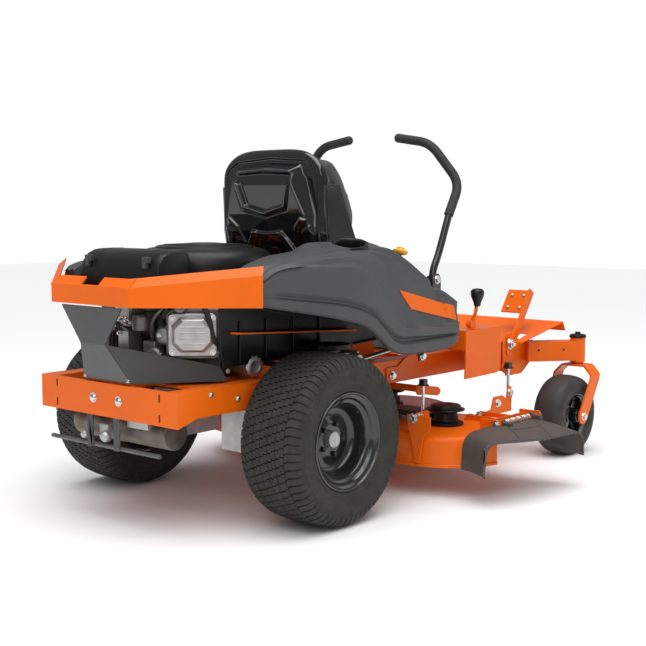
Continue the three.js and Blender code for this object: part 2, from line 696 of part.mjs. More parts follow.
// A turned piece on an axis that leans by the given direction; the profile is [radius, height].
function turned([x, y, z], direction, profile, segments) {
  const points = profile.map(([radius, along]) => new THREE.Vector2(radius, along));
  const geometry = new THREE.LatheGeometry(points, segments);
  geometry.applyQuaternion(new THREE.Quaternion().setFromUnitVectors(
    new THREE.Vector3(0, 1, 0), new THREE.Vector3(...direction).normalize()));
  geometry.translate(x, y, z);
  return geometry;
}

// ---------------------------------------------------------------- mowing deck
function deckBody(radius, zMin, zMax, sides) {
  return join(
    disc(SPINDLE_X, -SPINDLE_Y, radius, zMin, zMax, sides),
    disc(SPINDLE_X, SPINDLE_Y, radius, zMin, zMax, sides),
    disc(MID_SPINDLE_X, 0, radius, zMin, zMax, sides),
    box(SPINDLE_X, MID_SPINDLE_X, -SPINDLE_Y, SPINDLE_Y, zMin, zMax));
}

function addDeck() {
  const shell = cut(deckBody(SHELL_R, DECK_Z_LOW, DECK_Z_TOP, 28),
    deckBody(SHELL_R - SHEET, DECK_Z_LOW - 5, DECK_Z_TOP - SHEET, 28),
    box(650, 900, -700, -560, DECK_Z_LOW - 5, 180));
  const brackets = [];
  for (const side of [-1, 1]) {
    const y = side * (HANGER_Y + 20);
    const yMin = Math.min(y, y - side * SHEET);
    brackets.push(plateXZ([
      [REAR_HANGER_X - 70, 262], [REAR_HANGER_X + 10, 262], [REAR_HANGER_X + 10, 190],
      [REAR_HANGER_X - 62, 190],
    ], yMin, yMin + SHEET));
    const post = [FRONT_HANGER_X - 34, FRONT_HANGER_X - 6];
    brackets.push(box(...post, yMin, yMin + SHEET, 192, 285));
    brackets.push(box(870, post[1], yMin, yMin + SHEET, 192, 205));
  }
  add('deck_shell', join(shell, ...brackets), orange);
  const coverAt = (x, y) => turnedZ([
    [0, DECK_Z_TOP + GAP], [62, DECK_Z_TOP + GAP], [62, 206], [44, 212], [40, 240], [34, 246],
    [0, 246],
  ], [x, y], 14);
  add('belt_cover', join(
    coverAt(SPINDLE_X, -SPINDLE_Y), coverAt(SPINDLE_X, SPINDLE_Y), coverAt(MID_SPINDLE_X, 0),
    box(SPINDLE_X - 30, SPINDLE_X + 60, -SPINDLE_Y + 40, SPINDLE_Y - 40, 214, 232),
    box(SPINDLE_X, MID_SPINDLE_X, -60, 60, 214, 232)), black);
}

function addBlades() {
  const spindles = {
    r: [SPINDLE_X, -SPINDLE_Y],
    c: [MID_SPINDLE_X, 0],
    l: [SPINDLE_X, SPINDLE_Y],
  };
  for (const [side, [x, y]] of Object.entries(spindles)) {
    const blade = join(
      box(x - BLADE_R, x + BLADE_R, y - 30, y + 30, BLADE_Z, BLADE_Z + 5),
      disc(x, y, 28, BLADE_Z - 10, BLADE_Z, 16),
      disc(x, y, 24, BLADE_Z, DECK_Z_TOP - SHEET - 1, 16));
    add(`blade_${side}`, common(blade, disc(x, y, BLADE_R, 100, 200, 28)), castMetal);
  }
}

// The saddle-shaped discharge chute on its hinge, and the bracket that carries it.
function addChute() {
  const inner = [
    [460, 104], [464, 180], [484, 206], [520, 217], [700, 218], [850, 216], [884, 208],
    [894, 190], [896, 150],
  ];
  const outer = [
    [392, 98], [400, 168], [424, 196], [470, 208], [640, 196], [860, 190], [910, 178],
    [930, 160], [932, 100],
  ];
  const planOutline = [
    [300, -560], [421, -716], [429, -722], [560, -768], [640, -786], [1000, -786], [1000, -560],
  ];
  const body = common(loft(strip(inner, 7), HINGE_Y - 26, strip(outer, 7), CHUTE_OUTER_Y),
    plateXY(planOutline, 50, 300));
  const rearApron = loft(
    strip([[488, 106], [493, 184], [512, 208], [548, 217]], 7), HINGE_Y + 20,
    strip(inner.slice(0, 4), 7), HINGE_Y - 26.2);
  const lugs = [];
  for (const x of [672, 858]) {
    lugs.push(box(x - 9, x + 9, HINGE_Y - 40, HINGE_Y + 11, 212, 236));
  }
  const pin = rod([600, HINGE_Y, HINGE_Z], [920, HINGE_Y, HINGE_Z], 7.5, 16);
  add('discharge_chute', cut(join(body, rearApron, ...lugs), pin), chuteGrey);
  const bracket = join(
    box(650, 880, -592, -560, DECK_Z_TOP + GAP, 203),
    box(640, 646, -640, -562, 198, 240),
    box(884, 890, -640, -562, 198, 240),
    box(640, 890, -586, -580, 200, 232),
    rod([636, HINGE_Y, HINGE_Z], [896, HINGE_Y, HINGE_Z], 6, 12));
  add('chute_bracket', bracket, orange);
}

// ---------------------------------------------------------------- deck lift
function addLift() {
  const hangers = {
    rear_hanger: [REAR_HANGER_X, 244, 363],
    front_hanger: [FRONT_HANGER_X, 240, 366],
  };
  for (const [name, [x, low, high]] of Object.entries(hangers)) {
    addPair(name, join(
      rod([x, -HANGER_Y, low], [x, -HANGER_Y, high], 6),
      rod([x, -HANGER_Y, high - 30], [x, -HANGER_Y, high - 14], 11),
      rod([x, -HANGER_Y - 15 + GAP, low + 4], [x, -HANGER_Y, low + 4], 6)), zinc);
  }
  const shafts = {
    lift_shaft_rear: [REAR_HANGER_X + 105, REAR_HANGER_X, 310],
    lift_shaft_front: [FRONT_SHAFT_X, FRONT_HANGER_X, FRONT_SHAFT_Z],
  };
  for (const [name, [x, hangerX, z]] of Object.entries(shafts)) {
    const crank = join(
      bar([x, z], [hangerX, z + 18], 30, -HANGER_Y + 12, -HANGER_Y + 18),
      rod([hangerX, -HANGER_Y + 12, z + 18], [hangerX, -HANGER_Y + 18, z + 18], 19, 16));
    add(name, join(rod([x, -HANGER_Y + 12, z], [x, HANGER_Y - 12, z], SHAFT_R, 16), crank,
      mirrored(crank)), orange);
  }
  const tread = join(
    bar([1140, 400], [1291, 615], 34, -363, -357),
    rod([1140, -363, 400], [1140, -353, 400], 20, 16),
    loftSheet([[1235, -363, 536], [1235, -261, 536], [1291, -261, 616], [1291, -363, 616]],
      [5, 0, -4]));
  add('lift_pedal', tread, orange);
}

addChassis();
addBumper();
addGuard();
addGuardSupport();
addEngine();
addDrive();
addCasters();
addBodywork();
addSeat();
addControls();
addDeck();
addBlades();
addChute();
addLift();

export default assembly;
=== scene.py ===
import math

import bmesh
import bpy
import numpy as np
from mathutils import Matrix, Vector
from mathutils.bvhtree import BVHTree


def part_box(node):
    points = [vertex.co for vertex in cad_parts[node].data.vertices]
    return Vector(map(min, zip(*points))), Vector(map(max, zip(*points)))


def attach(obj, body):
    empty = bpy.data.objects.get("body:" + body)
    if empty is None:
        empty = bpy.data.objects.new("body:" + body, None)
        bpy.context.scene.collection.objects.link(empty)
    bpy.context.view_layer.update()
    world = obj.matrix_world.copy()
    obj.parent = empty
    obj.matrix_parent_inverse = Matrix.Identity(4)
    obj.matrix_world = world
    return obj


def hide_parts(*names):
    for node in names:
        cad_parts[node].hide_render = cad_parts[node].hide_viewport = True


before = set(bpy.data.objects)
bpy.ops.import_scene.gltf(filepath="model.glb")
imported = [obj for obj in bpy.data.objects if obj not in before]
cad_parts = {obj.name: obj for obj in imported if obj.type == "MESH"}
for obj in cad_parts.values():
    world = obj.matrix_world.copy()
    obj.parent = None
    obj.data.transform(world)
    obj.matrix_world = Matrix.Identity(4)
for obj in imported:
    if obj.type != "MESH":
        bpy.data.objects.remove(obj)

for name in ("Cube", "Light", "Camera"):
    if name in bpy.data.objects:
        bpy.data.objects.remove(bpy.data.objects[name])
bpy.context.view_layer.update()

# ------------------------------------------------------------------ the mower's own frame
# Pieces are drawn in millimetres from the ground under the rear axle, +X forward, +Y left.
MM = 0.001


def middle(node):
    low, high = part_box(node)
    return (low + high) / 2


AXLE = (middle("rear_tyre_r") + middle("rear_tyre_l")) / 2


def row(point):
    x, y, z = point
    return Vector((x * MM + AXLE.x, y * MM + AXLE.y, z * MM))


# ------------------------------------------------------------------ camera
CAMERA_AT = (-2559.7, -2650.3, 926.2)
CAMERA_HEADING = 0.7137
CAMERA_PITCH = -0.0980
CAMERA_LENS = 65.03
SENSOR_WIDTH = 36.0
CAMERA_REACH = 60.0


def linked(name, data):
    """An object with some data, put into the scene."""
    obj = bpy.data.objects.new(name, data)
    bpy.context.scene.collection.objects.link(obj)
    return obj


def add_camera():
    data = bpy.data.cameras.new("camera")
    data.lens = CAMERA_LENS
    data.sensor_width = SENSOR_WIDTH
    data.clip_end = CAMERA_REACH
    camera = linked("camera", data)
    camera.location = row(CAMERA_AT)
    flat = math.cos(CAMERA_PITCH)
    look = Vector((flat * math.cos(CAMERA_HEADING), flat * math.sin(CAMERA_HEADING),
                   math.sin(CAMERA_PITCH)))
    camera.rotation_euler = look.to_track_quat("-Z", "Y").to_euler()
    bpy.context.scene.camera = camera


# ------------------------------------------------------------------ materials
MATERIALS = {}


def material(name, color, rough, metallic=0.0, coat=0.0, coat_rough=0.1, mottle=(6.0, 0.08), rough_spread=0.06,
             grain=(900.0, 0.1, 0.0002), cells=None, specks=None, stretch=(1, 1, 1), sheen=0.0,
             specular=0.5):
    """A surface with its colour mottled, its gloss uneven, and fine grain or cells in its relief."""
    mat = bpy.data.materials.new(name)
    mat.use_nodes = True
    tree = mat.node_tree
    nodes, link = tree.nodes, tree.links.new
    shader = nodes["Principled BSDF"]
    shader.inputs["Metallic"].default_value = metallic
    shader.inputs["Coat Weight"].default_value = coat
    shader.inputs["Specular IOR Level"].default_value = specular
    shader.inputs["Coat Roughness"].default_value = coat_rough
    shader.inputs["Sheen Weight"].default_value = sheen
    place = nodes.new("ShaderNodeTexCoord")
    scale = nodes.new("ShaderNodeMapping")
    scale.inputs["Scale"].default_value = stretch
    link(place.outputs["Object"], scale.inputs["Vector"])

    def noise(size, detail=3.0):
        node = nodes.new("ShaderNodeTexNoise")
        node.inputs["Scale"].default_value = size
        node.inputs["Detail"].default_value = detail
        link(scale.outputs["Vector"], node.inputs["Vector"])
        return node.outputs["Fac"]

    def spread(value, low, high):
        node = nodes.new("ShaderNodeMapRange")
        node.inputs["From Min"].default_value = 0.3
        node.inputs["From Max"].default_value = 0.7
        node.inputs["To Min"].default_value = low
        node.inputs["To Max"].default_value = high
        link(value, node.inputs["Value"])
        return node.outputs["Result"]

    def blend(factor, first, second):
        node = nodes.new("ShaderNodeMix")
        node.data_type = "RGBA"
        link(factor, node.inputs["Factor"])
        for socket, value in ((node.inputs["A"], first), (node.inputs["B"], second)):
            if isinstance(value, tuple):
                socket.default_value = (*value, 1.0)
            else:
                link(value, socket)
        return node.outputs["Result"]

    size, amount = mottle
    dark = tuple(c * (1 - amount) for c in color)
    light = tuple(min(1.0, c * (1 + amount)) for c in color)
    tone = blend(spread(noise(size), 0.0, 1.0), dark, light)
    if specks:
        speck_size, speck_color, share = specks
        chance = spread(noise(speck_size, 6.0), -4.0 + 8 * share, -1.2 + 4 * share)
        clamp = nodes.new("ShaderNodeClamp")
        link(chance, clamp.inputs["Value"])
        tone = blend(clamp.outputs["Result"], tone, speck_color)
    link(tone, shader.inputs["Base Color"])
    link(spread(noise(size * 4), max(0.02, rough - rough_spread), rough + rough_spread), shader.inputs["Roughness"])
    grain_size, strength, depth = grain
    bump = nodes.new("ShaderNodeBump")
    bump.inputs["Strength"].default_value = strength
    bump.inputs["Distance"].default_value = depth
    height = noise(grain_size)
    if cells:
        pattern = nodes.new("ShaderNodeTexVoronoi")
        pattern.inputs["Scale"].default_value = cells
        link(scale.outputs["Vector"], pattern.inputs["Vector"])
        add = nodes.new("ShaderNodeMath")
        add.operation = "ADD"
        link(pattern.outputs["Distance"], add.inputs[0])
        link(height, add.inputs[1])
        height = add.outputs["Value"]
    link(height, bump.inputs["Height"])
    link(bump.outputs["Normal"], shader.inputs["Normal"])
    MATERIALS[name] = mat


material("orange", (0.82, 0.135, 0.004), 0.34, coat=0.14, coat_rough=0.14, mottle=(5, 0.05), grain=(700, 0.08, 0.0002),
         specular=0.14)
material("grey_paint", (0.060, 0.060, 0.063), 0.42, coat=0.15, mottle=(8, 0.08), grain=(1400, 0.25, 0.0002))
material("black_paint", (0.012, 0.012, 0.013), 0.22, coat=0.5, coat_rough=0.08, mottle=(9, 0.2),
         grain=(900, 0.08, 0.0002))
material("grey_plastic", (0.056, 0.057, 0.059), 0.50, mottle=(7, 0.07), grain=(2400, 0.35, 0.0002), cells=1700)
material("black_plastic", (0.007, 0.007, 0.0075), 0.36, mottle=(9, 0.2), grain=(1800, 0.2, 0.0002), cells=1500,
         specular=0.35)
material("seat_shell", (0.007, 0.007, 0.008), 0.10, coat=0.6, coat_rough=0.04, mottle=(5, 0.2), rough_spread=0.03,
         grain=(60, 0.03, 0.001))
material("vinyl", (0.040, 0.040, 0.041), 0.58, mottle=(10, 0.1), grain=(500, 0.3, 0.0004), cells=420, sheen=0.15)
material("rubber", (0.024, 0.0225, 0.021), 0.78, mottle=(22, 0.25), rough_spread=0.1, grain=(420, 0.45, 0.0006),
         specks=(55, (0.06, 0.055, 0.05), 0.30))
material("smooth_rubber", (0.026, 0.024, 0.022), 0.62, mottle=(14, 0.3), rough_spread=0.1, grain=(600, 0.3, 0.0003),
         specks=(18, (0.07, 0.066, 0.06), 0.32))
material("grip_rubber", (0.022, 0.022, 0.023), 0.66, mottle=(12, 0.15), grain=(1200, 0.4, 0.0003), cells=900)
material("chute_rubber", (0.075, 0.063, 0.055), 0.55, mottle=(6, 0.14), rough_spread=0.08, grain=(900, 0.4, 0.0003),
         cells=1200)
material("cast", (0.50, 0.50, 0.49), 0.42, metallic=0.85, mottle=(30, 0.14), grain=(420, 0.55, 0.0007),
         specks=(35, (0.22, 0.21, 0.20), 0.3))
material("dark_cast", (0.16, 0.155, 0.15), 0.5, metallic=0.75, mottle=(26, 0.3), grain=(380, 0.5, 0.0007))
material("zinc", (0.66, 0.66, 0.64), 0.26, metallic=1.0, mottle=(40, 0.10), grain=(600, 0.15, 0.0002),
         specks=(60, (0.55, 0.50, 0.38), 0.3))
material("steel", (0.45, 0.45, 0.44), 0.34, metallic=1.0, mottle=(30, 0.1), grain=(260, 0.2, 0.0003), stretch=(1, 6, 1))
material("chrome", (0.80, 0.80, 0.80), 0.10, metallic=1.0, mottle=(30, 0.04), rough_spread=0.04,
         grain=(900, 0.04, 0.0001))
material("yellow", (0.90, 0.44, 0.02), 0.36, coat=0.2, mottle=(10, 0.05), grain=(1500, 0.2, 0.0002))
material("belt", (0.016, 0.015, 0.015), 0.8, mottle=(25, 0.3), grain=(900, 0.5, 0.0004))
material("mat_rubber", (0.030, 0.030, 0.031), 0.7, mottle=(12, 0.2), grain=(800, 0.5, 0.0004), cells=300)
material("muffler", (0.20, 0.17, 0.15), 0.5, metallic=0.9, mottle=(18, 0.35), grain=(300, 0.4, 0.0005),
         specks=(12, (0.18, 0.10, 0.06), 0.4))

# ------------------------------------------------------------------ shapes in code
AHEAD, BACK, LEFT, RIGHT, UP = (1, 0, 0), (-1, 0, 0), (0, 1, 0), (0, -1, 0), (0, 0, 1)


def unit(vector):
    return Vector(vector).normalized()


def rounded_path(points, bend, steps=6):
    """The line through some corner points, with each corner turned by a bend."""
    corners = [Vector(p) for p in points]
    path = [corners[0]]
    for before, corner, after in zip(corners, corners[1:], corners[2:]):
        reach = min(bend, (corner - before).length * 0.48, (after - corner).length * 0.48)
        enter = corner + (before - corner).normalized() * reach
        leave = corner + (after - corner).normalized() * reach
        for i in range(steps + 1):
            t = i / steps
            path.append(enter * (1 - t) ** 2 + corner * 2 * t * (1 - t) + leave * t * t)
    path.append(corners[-1])
    return path


MERGE_DISTANCE = 1e-6


class Shape:
    """Points and faces in the mower's frame, from which one mesh is made."""

    def __init__(self):
        self.points = []
        self.faces = []

    def put(self, points, faces):
        base = len(self.points)
        self.points.extend(Vector(p) for p in points)
        self.faces.extend([base + i for i in face] for face in faces)
        return self

    def join(self, other):
        return self.put(other.points, other.faces)

    def mirrored(self):
        flipped = Shape()
        flipped.put([(p.x, -p.y, p.z) for p in self.points], [face[::-1] for face in self.faces])
        return flipped

    def both(self):
        return self.join(self.mirrored())

    def on(self, side):
        """This shape, which is drawn on the right (-1), for either side."""
        return self.mirrored() if side > 0 else self

    def rings(self, rings, closed=True, caps=True):
        """Skins a list of rings with the same number of points."""
        count = len(rings[0])
        faces = []
        for i in range(len(rings) - 1):
            for j in range(count if closed else count - 1):
                k = (j + 1) % count
                faces.append((i * count + j, i * count + k, (i + 1) * count + k, (i + 1) * count + j))
        if caps:
            faces.append(tuple(range(count))[::-1])
            faces.append(tuple((len(rings) - 1) * count + j for j in range(count)))
        return self.put([p for ring in rings for p in ring], faces)

    def block(self, x0, x1, y0, y1, z0, z1):
        return self.rings([[(x0, y0, z), (x1, y0, z), (x1, y1, z), (x0, y1, z)] for z in (z0, z1)])

    def prism(self, outline, axis, low, high):
        """An outline in the other two axes, in their order, given thickness along an axis."""
        def place(a, b, c):
            return {"x": (c, a, b), "y": (a, c, b), "z": (a, b, c)}[axis]
        return self.rings([[place(a, b, c) for a, b in outline] for c in (low, high)])

    def lathe(self, profile, centre, axis=LEFT, sides=48, closed=False):
        """A turned shape about an axis through centre; the profile is (radius, distance along the axis)."""
        along = unit(axis)
        side = along.orthogonal().normalized()
        over = along.cross(side)
        rings = []
        for radius, reach in profile:
            radius = max(radius, 0.02)
            rings.append([Vector(centre) + along * reach + (
                side * math.cos(2 * math.pi * i / sides) + over * math.sin(2 * math.pi * i / sides)
            ) * radius for i in range(sides)])
        if closed:
            rings.append(rings[0])
        return self.rings(rings, caps=not closed)

    def tube(self, points, radius, sides=12, bend=20, steps=6):
        """A round bar along a line of points, with its corners bent."""
        path = rounded_path(points, bend, steps) if bend else [Vector(p) for p in points]
        run = (path[1] - path[0]).normalized()
        side = run.orthogonal().normalized()
        rings = []
        for i, point in enumerate(path):
            ahead = path[min(i + 1, len(path) - 1)] - path[max(i - 1, 0)]
            turn = run.rotation_difference(ahead.normalized())
            run = ahead.normalized()
            side = (turn @ side).normalized()
            over = run.cross(side)
            rings.append([point + (side * math.cos(2 * math.pi * k / sides)
                                   + over * math.sin(2 * math.pi * k / sides)) * radius for k in range(sides)])
        return self.rings(rings)

    def bolt(self, at, axis, size=8.0, washer=True):
        """A washer and a hexagon head, standing on a face at a point."""
        low = size * 0.18
        high = low + size * 0.6
        if washer:
            self.lathe([(0, 0), (size * 1.15, 0), (size * 1.2, 0.3), (size * 1.15, low), (0, low)], at, axis, 24)
        return self.lathe([(size * 0.92, low), (size * 0.92, high - 0.8), (size * 0.80, high), (0, high)],
                          at, axis, 6)

    def dome(self, at, axis, size):
        """A round bolt head on a face."""
        return self.lathe([(size, -1), (size, size * 0.15), (size * 0.85, size * 0.4), (size * 0.5, size * 0.55),
                           (0, size * 0.6)], at, axis, 24)

    def spring(self, start, end, radius, wire, turns):
        """A coil of wire between two points."""
        start, end = Vector(start), Vector(end)
        run = end - start
        side = run.orthogonal().normalized()
        over = run.normalized().cross(side)
        steps = int(turns * 14)
        path = [start + run * (i / steps) + (side * math.cos(2 * math.pi * turns * i / steps)
                                            + over * math.sin(2 * math.pi * turns * i / steps)) * radius
                for i in range(steps + 1)]
        return self.tube(path, wire, 6, bend=0)


def mesh_object(name, points, faces, smooth):
    """A mesh from points in metres, with its faces turned outwards and its sharp edges marked."""
    mesh = bpy.data.meshes.new(name)
    mesh.from_pydata(points, [], faces)
    work = bmesh.new()
    work.from_mesh(mesh)
    bmesh.ops.remove_doubles(work, verts=work.verts, dist=MERGE_DISTANCE)
    bmesh.ops.recalc_face_normals(work, faces=work.faces)
    work.to_mesh(mesh)
    work.free()
    mesh.shade_smooth()
    if smooth:
        mesh.set_sharp_from_angle(angle=math.radians(smooth))
    return linked(name, mesh)


def make_object(name, shape, smooth=35.0):
    return mesh_object(name, [row(p) for p in shape.points], shape.faces, smooth)


def dress(obj, body, look, replaces=()):
    """Gives a finished piece its material, its body, and the CAD nodes that it stands for."""
    obj.data.materials.clear()
    obj.data.materials.append(MATERIALS[look])
    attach(obj, body)
    if replaces:
        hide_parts(*replaces)
    return obj


def rounding(obj, width, segments=2, angle=30.0):
    """Rounds the edges that turn by more than an angle."""
    bevel = obj.modifiers.new("rounding", "BEVEL")
    bevel.width = width * MM
    bevel.segments = segments
    bevel.limit_method = "ANGLE"
    bevel.angle_limit = math.radians(angle)
    bevel.harden_normals = True


def baked(obj):
    """The piece with its modifiers worked into its mesh."""
    bpy.context.view_layer.update()
    depsgraph = bpy.context.evaluated_depsgraph_get()
    mesh = bpy.data.meshes.new_from_object(obj.evaluated_get(depsgraph))
    obj.modifiers.clear()
    obj.data = mesh
    return obj


def piece(name, shape, body, look, replaces=(), bevel=0.0, smooth=35.0, segments=2):
    """A shape as a finished piece that rides on a body."""
    obj = make_object(name, shape, smooth)
    if bevel:
        rounding(obj, bevel, segments)
    return dress(obj, body, look, replaces)


CREASE_ANGLE = 30
CAD_MERGE_DISTANCE = 2e-5


def crisp_tree():
    """Joins a CAD node's split vertices, and shades it smooth except along its sharp edges."""
    tree = bpy.data.node_groups.new("crisp_edges", "GeometryNodeTree")
    tree.interface.new_socket("Geometry", in_out="INPUT", socket_type="NodeSocketGeometry")
    tree.interface.new_socket("Geometry", in_out="OUTPUT", socket_type="NodeSocketGeometry")
    kinds = ("NodeGroupInput", "GeometryNodeMergeByDistance", "GeometryNodeRemoveAttribute",
             "GeometryNodeSetShadeSmooth", "GeometryNodeSetShadeSmooth", "NodeGroupOutput")
    start, merge, strip, soft, sharp, end = (tree.nodes.new(kind) for kind in kinds)
    merge.inputs["Distance"].default_value = CAD_MERGE_DISTANCE
    strip.inputs["Name"].default_value = "custom_normal"
    soft.domain = "FACE"
    soft.inputs["Shade Smooth"].default_value = True
    sharp.domain = "EDGE"
    sharp.inputs["Shade Smooth"].default_value = False
    angle = tree.nodes.new("GeometryNodeInputMeshEdgeAngle")
    over = tree.nodes.new("FunctionNodeCompare")
    over.operation = "GREATER_THAN"
    over.inputs["B"].default_value = math.radians(CREASE_ANGLE)
    link = tree.links.new
    link(angle.outputs["Unsigned Angle"], over.inputs["A"])
    link(over.outputs["Result"], sharp.inputs["Selection"])
    for first, second in zip((start, merge, strip, soft, sharp), (merge, strip, soft, sharp, end)):
        link(first.outputs["Geometry"], second.inputs["Geometry"])
    return tree


CRISP = crisp_tree()


def keep(node, look, bevel=1.2):
    """A CAD node that stays, with a finish and softened edges."""
    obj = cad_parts[node]
    obj.data.materials.clear()
    obj.data.materials.append(MATERIALS[look])
    obj.modifiers.new("crisp", "NODES").node_group = CRISP
    if bevel:
        rounding(obj, bevel)


def sides(call):
    """Calls a builder for the right side (-1) and for the left side (1)."""
    for letter, side in (("r", -1), ("l", 1)):
        call(letter, side)


# ------------------------------------------------------------------ drive wheels
TYRE_R, WHEEL_Y = 254.0, 432.0
BLOCKS_ROUND = 64
BLOCK_DEEP = 6.0
COLUMN_WIDTH = 29.5
WHEEL_NUTS = 5


def crown(t):
    """The tread's outer radius at a distance t from the tyre's middle."""
    return TYRE_R - 4.0 * (t / 76.0) ** 2


def polar(angle, radius, t, side):
    """A point at an angle round a drive wheel."""
    return (radius * math.sin(angle), side * (WHEEL_Y + t), TYRE_R + radius * math.cos(angle))


def tread_block(shape, side, middle_t, middle_angle, width, pitch):
    """A block with a step half way across, like an S turned on its side."""
    half, high, step = width / 2 - 1.6, pitch * 0.39, pitch * 0.15
    outline = [(-half, -high - step), (-2, -high - step), (2, -high + step), (half, -high + step),
               (half, high + step), (2, high + step), (-2, high - step), (-half, high - step)]
    rings = []
    for grow, lift in ((1.0, -BLOCK_DEEP - 2), (0.2, -0.9), (-0.9, 0.0)):
        ring = []
        for u, s in outline:
            u += math.copysign(grow, u) if abs(u) > 3 else 0
            s += math.copysign(grow, s)
            t = middle_t + u
            ring.append(polar(middle_angle + s / TYRE_R, crown(t) + lift, t, side))
        rings.append(ring)
    shape.rings(rings)


def shoulder_lug(shape, side, edge, middle_angle, pitch):
    """A lug that starts on the tread and wraps over the shoulder, getting thinner."""
    line = [(74.5, 250.2, 6.0), (84, 248.8, 6.0), (94, 245.0, 6.0), (102, 239.0, 5.5), (108, 231.0, 4.0),
            (110.5, 222.5, 2.2), (111.3, 217.0, 0.4)]
    rings = []
    for i, (t, radius, deep) in enumerate(line):
        lean = (0.16 if i else -0.10) * pitch - 0.02 * pitch * i
        wide = pitch * (0.40 if i < 5 else 0.34)
        low_t, low_r = t - deep * 0.35, radius - deep - 2
        rings.append([polar(middle_angle + (lean + along) / TYRE_R, r, edge * reach, side)
                      for along, r, reach in ((-wide - 0.8, low_r, low_t), (-wide, radius - 0.8, t),
                                              (-wide + 1, radius, t), (wide - 1, radius, t),
                                              (wide, radius - 0.8, t), (wide + 0.8, low_r, low_t))])
    shape.rings(rings)


def add_drive_wheel(letter, side):
    centre = (0, side * WHEEL_Y, TYRE_R)
    outward = (0, side, 0)
    half = [(144, 94), (147, 99), (152, 102), (156, 103.4), (157, 104.8), (160, 104.9), (161.5, 103.9),
            (172, 107.6), (186, 110.4), (199, 111.4), (200.5, 112.6), (205, 112.7), (206.5, 111.4), (216, 110.2),
            (226, 107.0), (235, 101.0), (241, 93.0), (244.4, 82), (246.3, 60), (247.6, 30)]
    profile = half + [(r, -t) for r, t in half[::-1]] + [(139, -80), (139, 80)]
    tyre = Shape().lathe(profile, centre, outward, 144, closed=True)
    pitch = 2 * math.pi * TYRE_R / BLOCKS_ROUND
    for k in range(BLOCKS_ROUND):
        turn = 2 * math.pi * k / BLOCKS_ROUND
        for column in range(5):
            offset = (column % 2) * math.pi / BLOCKS_ROUND
            tread_block(tyre, side, (column - 2) * COLUMN_WIDTH, turn + offset, COLUMN_WIDTH, pitch)
        for edge in (-1, 1):
            shoulder_lug(tyre, side, edge, turn + math.pi / BLOCKS_ROUND, pitch)
    piece(f"turf_tyre_{letter}", tyre, f"drive_wheel_{letter}", "rubber", [f"rear_tyre_{letter}"],
          smooth=28)
    dish = [(0, 30), (22, 30), (40, 34), (52, 33), (60, 26), (84, 23), (96, 27), (103, 38), (106, 52), (108.5, 72),
            (112, 77), (121, 79), (124.5, 83), (126, 90), (131, 94), (135.5, 95), (138, 98), (140.5, 101.5),
            (143.5, 102), (145.5, 100), (145, 96.5), (140, 92), (136, 86), (128, 74), (124, 60), (122, 0),
            (124, -60), (130, -78), (139, -90), (145, -96), (143, -101), (138, -99), (132, -88), (120, -78), (112, -60),
            (108, 10), (100, 18), (60, 16), (44, 8), (42, -50), (0, -50)]
    piece(f"wheel_rim_{letter}", Shape().lathe(dish, centre, outward, 96), f"drive_wheel_{letter}",
          "black_paint", [f"rear_rim_{letter}"], smooth=40)
    cap = Shape().lathe([(0, 30), (25, 30), (25.5, 44), (24, 47), (21, 48), (20, 46.8), (6, 46.8), (5, 48.6), (0, 49)],
                        centre, outward, 40)
    piece(f"hub_cap_{letter}", cap, f"drive_wheel_{letter}", "cast")
    stem = Shape()
    lift = Vector((0, side * 78, 0)) + Vector(centre)
    reach = Vector((math.sin(0.35), 0, math.cos(0.35)))
    stem.lathe([(0, 0), (5.5, 0), (5, 6), (3.4, 10), (3.2, 20), (4.2, 21), (4.2, 30), (3.4, 31), (0, 31)],
               lift + reach * 99, (reach.x * -0.3, side * 1.0, reach.z * -0.3), 16)
    for k in range(WHEEL_NUTS):
        angle = 2 * math.pi * k / WHEEL_NUTS + 0.4
        stem.lathe([(11, 27), (11, 32), (8.5, 33), (8.5, 42), (6.5, 44), (0, 44)],
                   Vector(centre) + Vector((46 * math.sin(angle), 0, 46 * math.cos(angle))), outward, 6)
    piece(f"wheel_nuts_{letter}", stem, f"drive_wheel_{letter}", "black_plastic", smooth=30)


sides(add_drive_wheel)

# ------------------------------------------------------------------ casters
CASTER_X, CASTER_Y, CASTER_AXLE_X, CASTER_Z = 1433.0, 482.0, 1341.0, 150.0


